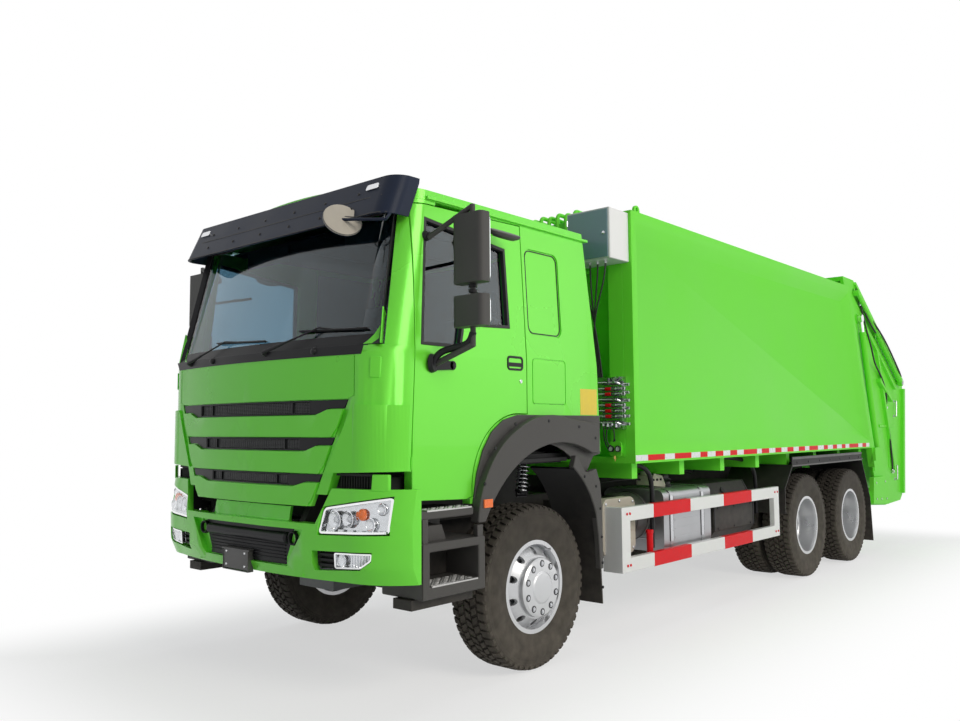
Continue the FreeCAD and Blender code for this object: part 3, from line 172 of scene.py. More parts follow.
def finish(name, colour, rough=0.5, metal=0.0, coat=0.0, tone=0.08, tone_scale=2.0, grain=0.0,
           grain_scale=250.0, dust=0.0, dust_top=1.3, rough_play=0.06, specular=0.5):
    """A surface with uneven tone, uneven gloss, fine grain and dust near the ground."""
    found = bpy.data.materials.get(name)
    if found:
        return found
    made = bpy.data.materials.new(name)
    made.use_nodes = True
    tree = made.node_tree
    place = node(tree, "TexCoord", "Object")
    cloud = node(tree, "TexNoise", "Fac", {"Vector": place, "Scale": tone_scale, "Detail": 5.0})
    dark = [c * (1.0 - tone) for c in colour]
    light = [min(1.0, c * (1.0 + tone)) for c in colour]
    tint = node(tree, "Mix", "Result", {"Factor": cloud, "A": (*dark, 1.0), "B": (*light, 1.0)},
                data_type="RGBA")
    gloss = node(tree, "MapRange", "Result", {
        "Value": cloud, "From Min": 0.3, "From Max": 0.7, "To Min": max(0.02, rough - rough_play),
        "To Max": min(1.0, rough + rough_play)})
    if dust:
        height = node(tree, "SeparateXYZ", "Z", {"Vector": place})
        fall = node(tree, "MapRange", "Result", {
            "Value": height, "From Min": 0.1, "From Max": dust_top, "To Min": dust, "To Max": 0.0})
        speck = node(tree, "TexNoise", "Fac", {"Vector": place, "Scale": 14.0, "Detail": 8.0})
        tint = node(tree, "Mix", "Result",
                    {"Factor": maths(tree, "MULTIPLY", fall, speck), "A": tint, "B": DUST_COLOUR},
                    data_type="RGBA")
    shader = tree.nodes["Principled BSDF"]
    feed(tree, shader, {"Metallic": metal, "Coat Weight": coat, "Coat Roughness": 0.04,
                        "Specular IOR Level": specular, "Base Color": tint, "Roughness": gloss})
    if grain:
        fine = node(tree, "TexNoise", "Fac", {"Vector": place, "Scale": grain_scale, "Detail": 3.0})
        bump = node(tree, "Bump", "Normal", {"Strength": grain, "Distance": 0.002, "Height": fine})
        feed(tree, shader, {"Normal": bump})
    return made


def recipe(name, colour, make=finish, **traits):
    """A finish that is made where it is first asked for."""
    return lambda: make(name, colour, **traits)


def clear_finish(name, colour, ior=1.45):
    """Glass or clear plastic."""
    made = finish(name, colour, rough=0.02, tone=0.1, tone_scale=1.5, rough_play=0.015, specular=0.12)
    feed(made.node_tree, made.node_tree.nodes["Principled BSDF"],
         {"Transmission Weight": 1.0, "IOR": ior})
    return made


def glow_finish(name, colour, strength):
    """A lamp lens that shines a little."""
    made = finish(name, colour, rough=0.15, coat=0.6, tone=0.15, tone_scale=60.0)
    feed(made.node_tree, made.node_tree.nodes["Principled BSDF"],
         {"Emission Color": (*colour, 1.0), "Emission Strength": strength})
    return made


def paint():
    return finish("lime_paint", settings().body_colour, rough=0.3, metal=0.15, coat=0.22, specular=0.25,
                  tone=0.05, tone_scale=1.2, grain=0.03, grain_scale=900.0, dust=0.1, dust_top=1.5)


def body_paint():
    return finish("body_paint", settings().body_colour, rough=0.5, coat=0.06, specular=0.2, tone=0.04,
                  tone_scale=0.8, grain=0.05, grain_scale=120.0, dust=0.1, dust_top=1.6)


def plastic():
    return finish("grained_plastic", settings().plastic_colour, rough=0.52, tone=0.12, grain=0.35,
                  grain_scale=700.0, dust=0.08, dust_top=1.5, specular=0.3)


def band_red():
    return finish("band_red", settings().band_colour, rough=0.4, specular=0.15, tone=0.1,
                  tone_scale=30.0, grain=0.1, grain_scale=900.0)


chassis_black = recipe("chassis_black", (0.014, 0.014, 0.015), rough=0.55, specular=0.2, tone=0.3,
                       grain=0.15, grain_scale=160.0, dust=0.35, dust_top=1.3)
black_trim = recipe("black_trim", (0.012, 0.012, 0.014), rough=0.38, tone=0.2, grain=0.1,
                    grain_scale=500.0, specular=0.2)
visor_finish = recipe("visor_gloss", (0.016, 0.023, 0.045), rough=0.36, tone=0.2, tone_scale=3.0,
                      specular=0.12)
rubber = recipe("tyre_rubber", (0.03, 0.027, 0.024), rough=0.78, specular=0.2, tone=0.25,
                tone_scale=9.0, grain=0.35, grain_scale=220.0, dust=0.42, dust_top=1.5)
rubber_trim = recipe("rubber_trim", (0.012, 0.012, 0.013), rough=0.6, tone=0.2, grain=0.2,
                     grain_scale=400.0)
wheel_silver = recipe("wheel_silver", (0.6, 0.61, 0.63), rough=0.32, metal=0.75, coat=0.3, tone=0.06,
                      tone_scale=7.0, grain=0.08, grain_scale=260.0, dust=0.18, dust_top=1.1)
guard_white = recipe("guard_white", (0.8, 0.81, 0.82), rough=0.35, coat=0.3, tone=0.04, grain=0.04,
                     grain_scale=80.0, dust=0.12, dust_top=1.2)
tape_white = recipe("tape_white", (0.78, 0.8, 0.82), rough=0.3, coat=0.4, tone=0.08, tone_scale=40.0,
                    grain=0.15, grain_scale=900.0)
chrome = recipe("bright_chrome", (0.86, 0.87, 0.88), rough=0.07, metal=1.0, tone=0.03, tone_scale=20.0,
                rough_play=0.03)
bright_steel = recipe("bright_steel", (0.55, 0.56, 0.58), rough=0.28, metal=1.0, tone=0.1,
                      tone_scale=15.0, grain=0.1, grain_scale=300.0)
tank_alloy = recipe("tank_alloy", (0.42, 0.43, 0.45), rough=0.38, metal=0.9, tone=0.14, tone_scale=5.0,
                    grain=0.18, grain_scale=90.0, dust=0.3, dust_top=1.2)
box_grey = recipe("box_grey", (0.5, 0.52, 0.54), rough=0.4, coat=0.2, tone=0.05, grain=0.08,
                  grain_scale=300.0)
engine_grey = recipe("engine_grey", (0.1, 0.11, 0.12), rough=0.55, metal=0.3, tone=0.3, tone_scale=12.0,
                     grain=0.4, grain_scale=90.0, dust=0.35, dust_top=1.4)
cabin_trim = recipe("cabin_trim", (0.05, 0.049, 0.047), rough=0.7, tone=0.1, grain=0.1,
                    grain_scale=200.0, specular=0.2)
# dark grey lining; its darkness is partly the lining's own grey and partly painted shade of the cab's
# inside
cabin_lining = recipe("cabin_lining", (0.055, 0.058, 0.062), rough=0.9, tone=0.08, grain=0.06,
                      grain_scale=120.0, specular=0.15)
mirror_glass = recipe("mirror_glass", (0.75, 0.78, 0.8), rough=0.04, metal=1.0, tone=0.03,
                      rough_play=0.01)
screen_glass = recipe("tinted_glass", (0.26, 0.4, 0.48), make=clear_finish)
lamp_glass = recipe("lamp_glass", (0.93, 0.95, 0.96), make=clear_finish, ior=1.3)
dark_mesh = recipe("dark_mesh", (0.03, 0.032, 0.034), rough=0.42, tone=0.2, tone_scale=30.0, grain=0.1,
                   grain_scale=600.0)
# near-black: painted shade behind the grille, under the cab and in the exhaust box's opening, and the
# corner vents' own black
deep_black = recipe("deep_black", (0.006, 0.006, 0.007), rough=0.75, tone=0.3, tone_scale=12.0)
satin_grey = recipe("satin_grey", (0.055, 0.054, 0.053), rough=0.45, coat=0.1, tone=0.15,
                    tone_scale=8.0, grain=0.2, grain_scale=300.0, dust=0.15, dust_top=1.3)
lamp_silver = recipe("lamp_silver", (0.74, 0.75, 0.77), rough=0.16, metal=0.95, tone=0.08,
                     tone_scale=35.0)
amber = recipe("amber_lens", (0.85, 0.16, 0.01), make=glow_finish, strength=0.12)
red_lens = recipe("red_lens", (0.55, 0.012, 0.012), make=glow_finish, strength=0.1)
sticker_yellow = recipe("sticker_yellow", (0.78, 0.6, 0.05), rough=0.4, tone=0.06, tone_scale=25.0,
                        grain=0.08, grain_scale=500.0)
box_blue = recipe("box_blue", (0.13, 0.22, 0.27), rough=0.42, coat=0.2, tone=0.08, tone_scale=6.0,
                  grain=0.12, grain_scale=400.0)
brass = recipe("brass", (0.62, 0.42, 0.12), rough=0.3, metal=0.9, tone=0.12, tone_scale=30.0)
bleached = recipe("bleached_alloy", (0.5, 0.46, 0.39), rough=0.6, tone=0.12, tone_scale=14.0, grain=0.3,
                  grain_scale=160.0, dust=0.25, dust_top=1.2)
tread_alloy = recipe("tread_alloy", (0.5, 0.5, 0.49), rough=0.36, metal=0.8, tone=0.15, tone_scale=12.0,
                     grain=0.25, grain_scale=150.0, dust=0.2, dust_top=1.2)
seat_cloth = recipe("seat_cloth", (0.115, 0.112, 0.108), rough=0.92, tone=0.16, tone_scale=45.0,
                    grain=0.12, grain_scale=150.0, specular=0.1)
seat_piping = recipe("seat_piping", (0.035, 0.034, 0.033), rough=0.75, tone=0.2, tone_scale=60.0,
                     grain=0.3, grain_scale=500.0)


# ------------------------------------------------------------ shapes
def block(bm, lo, hi):
    """Adds a box between two corners."""
    lo, hi = Vector(lo), Vector(hi)
    size = hi - lo
    scale = Matrix.Diagonal((size.x, size.y, size.z, 1.0))
    place = Matrix.Translation((lo + hi) / 2) @ scale
    return bmesh.ops.create_cube(bm, size=1.0, matrix=place)["verts"]


def rod(bm, start, end, radius, segments=16, radius_end=None):
    """Adds a round bar or cone between two points."""
    start, end = Vector(start), Vector(end)
    axis = end - start
    place = Matrix.Translation((start + end) / 2) @ axis.to_track_quat("Z", "Y").to_matrix().to_4x4()
    last = radius if radius_end is None else radius_end
    bmesh.ops.create_cone(bm, cap_ends=True, segments=segments, radius1=radius, radius2=last,
                          depth=axis.length, matrix=place)


def thicken(bm, faces, push):
    """Extrudes faces along a vector."""
    grown = bmesh.ops.extrude_face_region(bm, geom=faces)["geom"]
    moved = [g for g in grown if isinstance(g, bmesh.types.BMVert)]
    bmesh.ops.translate(bm, vec=push, verts=moved)


def round_corners(bm, offset, segments=5):
    """Rounds the corners of flat outlines."""
    bmesh.ops.bevel(bm, geom=bm.verts[:], offset=offset, offset_type="OFFSET", segments=segments,
                    profile=0.5, affect="VERTICES", material=-1)


def rect(x0, z0, x1, z1):
    """The four corners of an upright rectangle."""
    return [(x0, z0), (x1, z0), (x1, z1), (x0, z1)]


def upright(x, outline):
    """Places of (y, z) points on a plane that faces sideways, counted from the front axle."""
    return [at(x, y, z) for y, z in outline]


def plate(bm, points, push):
    """Adds a flat outline, pushed along a vector."""
    thicken(bm, [bm.faces.new([bm.verts.new(p) for p in points])], push)


def round_plate(bm, points, offset, segments, push):
    """Adds a flat outline with round corners, pushed along a vector."""
    part = bmesh.new()
    part.faces.new([part.verts.new(p) for p in points])
    round_corners(part, offset, segments)
    thicken(part, part.faces[:], push)
    add_part(bm, part)


def turning(bm, profile, centre, segments=32, axis=(1, 0, 0), closed=False):
    """Spins (along the axis, radius) points round a centre, on an X axis unless told."""
    axis = Vector(axis).normalized()
    side = Vector((0, 0, 1)) if abs(axis.z) < 0.9 else Vector((1, 0, 0))
    side = (side - axis * side.dot(axis)).normalized()
    centre = Vector(centre)
    verts = [bm.verts.new(centre + axis * a + side * r) for a, r in profile]
    edges = [bm.edges.new(pair) for pair in zip(verts[:-1], verts[1:])]
    if closed:
        edges.append(bm.edges.new((verts[-1], verts[0])))
    bmesh.ops.spin(bm, geom=verts + edges, cent=centre, axis=axis, dvec=(0, 0, 0), angle=math.tau,
                   steps=segments, use_merge=True, use_duplicate=False)


def piece(name, bm, body, surface, side="", bevel=0.0, segments=2, smooth=35.0, heal=True):
    """Makes a riding piece of a bmesh; a side adds its name, and the right one is turned over."""
    if side:
        name += "_" + side
    turned = side == "right"
    if turned:
        bmesh.ops.scale(bm, vec=(-1, 1, 1), verts=bm.verts)
    if heal:
        bmesh.ops.remove_doubles(bm, verts=bm.verts, dist=1e-5)
        bmesh.ops.recalc_face_normals(bm, faces=bm.faces)
    elif turned:
        bmesh.ops.reverse_faces(bm, faces=bm.faces)
    mesh = bpy.data.meshes.new(name)
    bm.to_mesh(mesh)
    bm.free()
    mesh.materials.append(surface)
    mesh.shade_smooth()
    mesh.set_sharp_from_angle(angle=math.radians(smooth))
    made = bpy.data.objects.new(name, mesh)
    bpy.context.scene.collection.objects.link(made)
    if bevel:
        eased = made.modifiers.new("eased_edges", "BEVEL")
        eased.width = bevel
        eased.segments = segments
        eased.limit_method = "ANGLE"
        eased.angle_limit = math.radians(30)
    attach(made, body)
    return made


def pipes(name, runs, radius, body, surface, order=3, sides=6):
    """Round lines through points, each run smooth, as one piece."""
    curve = bpy.data.curves.new(name, "CURVE")
    curve.dimensions = "3D"
    curve.bevel_depth = radius
    curve.bevel_resolution = max(1, sides // 4)
    curve.resolution_u = 5
    curve.use_fill_caps = True
    for points in runs:
        line = curve.splines.new("NURBS")
        line.points.add(len(points) - 1)
        for spot, p in zip(line.points, points):
            spot.co = (*p, 1.0)
        line.order_u = min(order, len(points))
        line.use_endpoint_u = True
    made = bpy.data.objects.new(name, curve)
    bpy.context.scene.collection.objects.link(made)
    curve.materials.append(surface)
    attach(made, body)
    return made


def eased_copy(node, surface, width=0.006, segments=2):
    """A copy of a node with its seams merged and its edges eased, in the node's stead."""
    source = frame["nodes"][node]
    bm = bmesh.new()
    bm.from_mesh(source.data)
    bmesh.ops.remove_doubles(bm, verts=bm.verts, dist=2e-5)
    bmesh.ops.dissolve_limit(bm, angle_limit=math.radians(0.5), verts=bm.verts, edges=bm.edges)
    made = piece("dressed_" + node, bm, source["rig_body"], surface, bevel=width,
                 segments=segments, heal=False, smooth=30.0)
    made.modifiers["eased_edges"].harden_normals = True
    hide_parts(node)
    return made


# ------------------------------------------------------------ steps
OPERATORS = []


def step(operator):
    """Lists an operator; they run in the order they are written in."""
    OPERATORS.append(operator)
    return operator


def on_both_sides(make):
    """An execute that runs once for the left side and once for the right."""
    def execute(self, context):
        for side in SIDES:
            make(side)
        return {"FINISHED"}
    return execute


# ------------------------------------------------------------ nodes
# finish, eased edge in metres (0 keeps the node itself), nodes
NODE_FINISHES = ((paint, 0.01, ("door_left", "door_right", "cab_sides", "cab_front", "cab_roof",
                                "front_panel", "bumper", "cab_rear")),
                 (body_paint, 0.006,
                  ("body_sides", "body_front", "tailgate_frame", "hopper", "slide_panel", "body_roof")),
                 (body_paint, 0.0,
                  ("ejector", "packer_blade", "body_floor", "slide_cylinders", "lift_barrels")),
                 (chassis_black, 0.0, ("frame_rails", "crossmembers", "front_axle", "rear_axles",
                                       "leaf_springs", "knuckle_left", "knuckle_right", "cab_floor")),
                 (chassis_black, 0.004, ("mudguards",)),
                 (plastic, 0.01, ("wheel_flares", "steps", "mirrors_left", "mirrors_right")),
                 (visor_finish, 0.006, ("sun_visor",)), (guard_white, 0.005, ("side_guards",)),
                 (wheel_silver, 0.003, ("front_rim_left", "front_rim_right", "rear_rims_1_left",
                                        "rear_rims_1_right", "rear_rims_2_left", "rear_rims_2_right")),
                 (rubber, 0.0, ("front_tyre_left", "front_tyre_right", "rear_tyres_1_left",
                                "rear_tyres_1_right", "rear_tyres_2_left", "rear_tyres_2_right")),
                 (screen_glass, 0.0, ("windscreen", "door_glass_left", "door_glass_right")),
                 (lamp_glass, 0.0, ("headlamps",)), (tank_alloy, 0.004, ("fuel_tank",)),
                 (box_grey, 0.008, ("control_box",)),
                 (chassis_black, 0.006, ("battery_box", "exhaust_box")),
                 (bright_steel, 0.0, ("valve_bank",)), (chrome, 0.0, ("lift_rods",)),
                 (engine_grey, 0.0, ("engine",)), (cabin_trim, 0.008, ("dashboard",)),
                 (cabin_lining, 0.0, ("seats",)), )


@step
class TRUCK_OT_finish_nodes(Operator):
    """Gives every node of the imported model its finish, with eased edges where they show"""
    bl_idname = "truck.finish_nodes"
    bl_label = "Finish the nodes"

    def execute(self, context):
        for surface, width, names in NODE_FINISHES:
            for name in names:
                if width:
                    eased_copy(name, surface(), width)
                else:
                    node = frame["nodes"][name]
                    node.data.materials.clear()
                    node.data.materials.append(surface())
        return {"FINISHED"}


# ------------------------------------------------------------ wheels
TYRE_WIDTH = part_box("front_tyre_left")[1].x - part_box("front_tyre_left")[0].x
BEAD_R = 0.29
# (share of half the width, radius) from the outer bead over the crown
SIDEWALL = ((0.76, BEAD_R), (0.86, BEAD_R + 0.012), (0.93, 0.345), (0.985, 0.395), (0.992, 0.4),
            (1.0, 0.425), (0.985, 0.452), (0.955, 0.47), (0.962, 0.474), (0.94, 0.49), (0.948, 0.494),
            (0.9, 0.51), (0.84, 0.5185))
# circles of the front and rear wheel nuts and of the hub bolts
FRONT_NUT_R, REAR_NUT_R, HUB_BOLT_R = 0.155, 0.162, 0.088
NUTS, HUB_BOLTS = 10, 8
# tread rows: middle as a share of half the width, block width, slant along the tread
TREAD_ROWS = ((-0.72, 0.05, -0.006), (-0.34, 0.044, 0.01), (0.0, 0.04, -0.01), (0.34, 0.044, 0.01),
              (0.72, 0.05, -0.006))


def add_tyre(bm, x, y):
    """Adds one tyre with its tread round a point of the wheel's axis."""
    half = TYRE_WIDTH / 2
    crown = TYRE_R - settings().tread_depth
    outer = [(a * half, r) for a, r in SIDEWALL]
    profile = outer + [(-a, r) for a, r in reversed(outer)]
    centre = Vector((x, y, TYRE_R))
    turning(bm, profile, centre, segments=72, closed=True)
    count = settings().tread_pitches
    pitch = math.tau / count
    length = 0.72 * pitch * TYRE_R
    for row, (share, width, slant) in enumerate(TREAD_ROWS):
        for i in range(count):
            made = bmesh.ops.create_cube(bm, size=1.0)["verts"]
            for v in made:
                top = v.co.z > 0
                ease = 0.9 if top else 1.06
                px = share * half + v.co.x * width * ease
                along = v.co.y * length * ease + slant * (1 if v.co.x > 0 else -1)
                if abs(px) > 0.9 * half:
                    px = math.copysign(0.9 * half, px)
                drop = 0.01 if top and abs(px) > 0.8 * half else 0.0
                radius = TYRE_R - drop if top else crown - 0.004
                turn = pitch * (i + 0.5 * (row % 2)) + along / TYRE_R
                v.co = centre + Vector((px, math.sin(turn) * radius, math.cos(turn) * radius))
    # shoulder lugs that wrap down onto the sidewall
    for s in (-1, 1):
        for i in range(count):
            made = bmesh.ops.create_cube(bm, size=1.0)["verts"]
            for v in made:
                outside = v.co.x > 0
                low = v.co.z < 0
                px = s * half * (0.93 if outside else 0.8)
                radius = (0.5 if low else 0.519) if outside else (0.505 if low else 0.529)
                turn = pitch * i + v.co.y * length * 0.8 / TYRE_R
                v.co = centre + Vector((px, math.sin(turn) * radius, math.cos(turn) * radius))


def add_nuts(bm, x, y, ring, radius, length, phase=0.0):
    """Adds a ring of hexagon nuts with round ends on a left wheel's face."""
    out = Vector((1, 0, 0))
    for i in range(NUTS):
        a = phase + math.tau * i / NUTS
        foot = Vector((x, y + ring * math.sin(a), TYRE_R + ring * math.cos(a)))
        rod(bm, foot, foot + out * length * 0.25, radius * 1.25, 14)
        rod(bm, foot, foot + out * length * 0.75, radius, 6)
        rod(bm, foot + out * length * 0.75, foot + out * length, radius * 0.62, 10, radius * 0.5)


@step
class TRUCK_OT_tyres(Operator):
    """Makes the ten tyres with their tread blocks and ringed sidewalls"""
    bl_idname = "truck.tyres"
    bl_label = "Tyres"

    @on_both_sides
    def execute(side):
        centre = middle("front_tyre_" + side)
        bm = bmesh.new()
        add_tyre(bm, centre.x, centre.y)
        made = piece("tyre_front_" + side, bm, "front_wheel_" + side, rubber(), smooth=28)
        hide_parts("front_tyre_" + side)
        for number, body in enumerate(REAR_WHEELS, 1):
            node = "rear_tyres_%d_%s" % (number, side)
            lo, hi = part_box(node)
            bm = bmesh.new()
            for x in (lo.x + TYRE_WIDTH / 2, hi.x - TYRE_WIDTH / 2):
                add_tyre(bm, x, (lo.y + hi.y) / 2)
            made = piece("tyres_" + body + "_" + side, bm, body + "_" + side, rubber(),
                         smooth=28)
            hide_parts(node)


@step
class TRUCK_OT_wheel_fittings(Operator):
    """Adds hub covers, wheel nuts, valves and hub bolts"""
    bl_idname = "truck.wheel_fittings"
    bl_label = "Hub covers and nuts"

    @on_both_sides
    def execute(side):
        lo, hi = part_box("front_rim_" + side)
        y = middle("front_tyre_" + side).y
        face = hi.x if side == "left" else lo.x
        seat = abs(face) - 0.008
        bm = bmesh.new()
        add_nuts(bm, seat, y, FRONT_NUT_R, 0.012, 0.0085)
        piece("wheel_nuts", bm, "front_wheel_" + side, bright_steel(), side=side)
        bm = bmesh.new()
        for i in range(NUTS):
            a = math.tau * i / NUTS
            spot = Vector((seat, y + FRONT_NUT_R * math.sin(a), TYRE_R + FRONT_NUT_R * math.cos(a)))
            turning(bm, [(0.0, 0.016), (0.0015, 0.016), (0.0025, 0.019), (0.0015, 0.0225),
                         (-0.001, 0.0225)], spot, 18)
        piece("nut_rings", bm, "front_wheel_" + side, black_trim(), side=side)
        bm = bmesh.new()
        ring_round(bm, (seat + 0.001, y, TYRE_R), (1, 0, 0), 0.1, 0.0022, 48, 6)
        rod(bm, (seat - 0.05, y + 0.1, TYRE_R + 0.232), (seat - 0.008, y + 0.11, TYRE_R + 0.236), 0.006,
            10)
        piece("hub_trim", bm, "front_wheel_" + side, bright_steel(), side=side)
        for number, body in enumerate(REAR_WHEELS, 1):
            node = "rear_rims_%d_%s" % (number, side)
            lo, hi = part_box(node)
            y = (lo.y + hi.y) / 2
            plate_x = (lo.x + hi.x) / 2 * SIGN[side]
            bm = bmesh.new()
            add_nuts(bm, plate_x + 0.014, y, REAR_NUT_R, 0.016, 0.034, math.radians(18))
            piece("nuts_" + body, bm, body + "_" + side, bright_steel(), side=side)
            bm = bmesh.new()
            reach = plate_x + 0.165
            turning(bm, [(plate_x + 0.02, 0.128), (reach - 0.03, 0.118), (reach - 0.004, 0.11),
                         (reach, 0.1), (reach, 0.0)], Vector((0, y, TYRE_R)), 32)
            for i in range(HUB_BOLTS):
                a = math.tau * i / HUB_BOLTS
                foot = Vector((reach - 0.002, y + HUB_BOLT_R * math.sin(a),
                               TYRE_R + HUB_BOLT_R * math.cos(a)))
                rod(bm, foot, foot + Vector((0.01, 0, 0)), 0.01, 6)
            piece("hub_" + body, bm, body + "_" + side, wheel_silver(), side=side)


# ------------------------------------------------------------ laid plates
def skin(node):
    """Search tree over a node's faces."""
    if node not in SKINS:
        mesh = frame["nodes"][node].data
        SKINS[node] = BVHTree.FromPolygons([v.co for v in mesh.vertices],
                                           [p.vertices for p in mesh.polygons])
    return SKINS[node]


def front_of(node, x, z):
    """How far forward a node reaches at a place, as y."""
    tree = skin(node)
    start = Vector((x, CAD_BOX[0].y - 1.0, z))
    hit = tree.ray_cast(start, Vector((0, 1, 0)))[0]
    return (hit or tree.find_nearest(start + Vector((0, 1, 0)))[0]).y


def side_of(node, y, z):
    """How far out to the left a node reaches at a place, as x."""
    tree = skin(node)
    start = Vector((CAD_BOX[1].x + 1.0, y, z))
    hit = tree.ray_cast(start, Vector((-1, 0, 0)))[0]
    return (hit or tree.find_nearest(start - Vector((1, 0, 0)))[0]).x


def add_part(bm, part):
    """Moves one bmesh's shape into another."""
    mesh = bpy.data.meshes.new("part")
    part.to_mesh(mesh)
    part.free()
    bm.from_mesh(mesh)
    bpy.data.meshes.remove(mesh)


def laid(bm, outline, node, proud=0.0, thick=0.004, ring=0.0, soft=0.0, side=False, level=None,
         step=0.08):
    """A plate or ring laid on a node's skin.

    The outline is in (x, z) on the front, or in (y from the front axle, z) on the left side.
    """
    part = bmesh.new()
    if side:
        spots = [(0.0, AXLE_Y + a, z) for a, z in outline]
    else:
        spots = [(a, 0.0, z) for a, z in outline]
    part.faces.new([part.verts.new(p) for p in spots])
    if soft:
        round_corners(part, soft)
    if ring:
        part.normal_update()
        inner = part.faces[:]
        bmesh.ops.inset_region(part, faces=inner, thickness=ring, use_even_offset=True,
                               use_boundary=True)
        bmesh.ops.delete(part, geom=inner, context="FACES")
    axis = 1 if side else 0
    low = min(v.co[axis] for v in part.verts)
    high = max(v.co[axis] for v in part.verts)
    count = max(1, round((high - low) / step))
    normal = Vector((0, 1, 0)) if side else Vector((1, 0, 0))
    for i in range(1, count):
        bmesh.ops.bisect_plane(part, geom=part.verts[:] + part.edges[:] + part.faces[:],
                               plane_co=normal * (low + (high - low) * i / count), plane_no=normal)
    for v in part.verts:
        z = v.co.z if level is None else level
        if side:
            v.co.x = side_of(node, v.co.y, z) + proud
        else:
            v.co.y = front_of(node, v.co.x, z) - proud
    thicken(part, part.faces[:], (-thick, 0, 0) if side else (0, thick, 0))
    add_part(bm, part)


def flipped(outline):
    """The same outline on the other side of the truck's middle."""
    return [(-x, z) for x, z in reversed(outline)]


def rods(bm, *rows):
    """Adds bars: a row holds two ends, counted from the front axle, a radius and what rod takes."""
    for x0, y0, z0, x1, y1, z1, *ways in rows:
        rod(bm, at(x0, y0, z0), at(x1, y1, z1), *ways)


def blocks(bm, *rows):
    """Adds boxes: two corners a row, counted from the front axle."""
    for x0, y0, z0, x1, y1, z1 in rows:
        block(bm, at(x0, y0, z0), at(x1, y1, z1))


def ring_round(bm, centre, axis, radius, thick, segments=24, sides=8):
    """Adds a round ring, like a rim or a seal."""
    profile = []
    for i in range(sides):
        a = math.tau * i / sides
        profile.append((thick * math.sin(a), radius + thick * math.cos(a)))
    turning(bm, profile, centre, segments, axis, closed=True)


# ------------------------------------------------------------ cab front
# grille slots: z of the top, of the shallow ends and of the deep middle, half widths of the
# top, the ends and the middle
SLOTS_IN_PANEL = ((1.748, 1.688, 1.655, 0.896, 0.868, 0.65), (1.531, 1.478, 1.445, 0.797, 0.772, 0.56),
                  (1.32, 1.265, 1.24, 0.702, 0.676, 0.465))
FLAT_Z = 1.9
STEP_RUN = 0.1
MESH_ROWS = 7
MESH_STEP = 0.022


@step
class TRUCK_OT_grille(Operator):
    """Fills the panel's slots with black frames and a fine mesh"""
    bl_idname = "truck.grille"
    bl_label = "Grille"

    def execute(self, context):
        frames, mesh, backs = (bmesh.new() for _ in range(3))

        def on_panel(bm, outline, proud, thick, step=0.12):
            laid(bm, outline, "front_panel", proud=proud, thick=thick, level=FLAT_Z, step=step)

        for top, end, deep, w_top, w_end, w_deep in SLOTS_IN_PANEL:
            inner = w_deep - 0.05
            half = [(w_end - 0.006, end + 0.005), (w_top - 0.006, top - 0.005), (inner, top - 0.005),
                    (inner, deep + 0.005), (w_deep + 0.004, deep + 0.005),
                    (w_deep + STEP_RUN, end + 0.005)]
            on_panel(frames, half, -0.004, 0.009)
            on_panel(frames, flipped(half), -0.004, 0.009)
            for z0, z1 in ((top - 0.014, top - 0.004), (deep + 0.004, deep + 0.014)):
                on_panel(frames, rect(-inner, z0, inner, z1), -0.005, 0.012)
            for x in (-inner, -inner * 0.74, inner * 0.74 - 0.008, inner - 0.008):
                on_panel(frames, rect(x, deep + 0.005, x + 0.008, top - 0.005), -0.006, 0.012, 0.08)
            for i in range(MESH_ROWS):
                z = deep + 0.016 + (top - deep - 0.032) * (i + 0.5) / MESH_ROWS
                on_panel(mesh, rect(-inner, z - 0.002, inner, z + 0.002), -0.016, 0.003, 0.15)
            for i in range(int(inner * 2 / MESH_STEP)):
                x = -inner + MESH_STEP / 2 + i * MESH_STEP
                y = front_of("front_panel", x, FLAT_Z)
                block(mesh, (x - 0.0015, y + 0.015, deep + 0.014), (x + 0.0015, y + 0.018, top - 0.014))
            # near-black plate behind the mesh: painted shade of the space behind the grille
            on_panel(backs, rect(-inner, deep + 0.004, inner, top - 0.004), -0.0225, 0.003)
        piece("grille_frames", frames, "front_panel", black_trim(), bevel=0.0015, segments=1)
        piece("grille_mesh", mesh, "front_panel", dark_mesh())
        piece("grille_shade_backs", backs, "front_panel", deep_black())
        return {"FINISHED"}


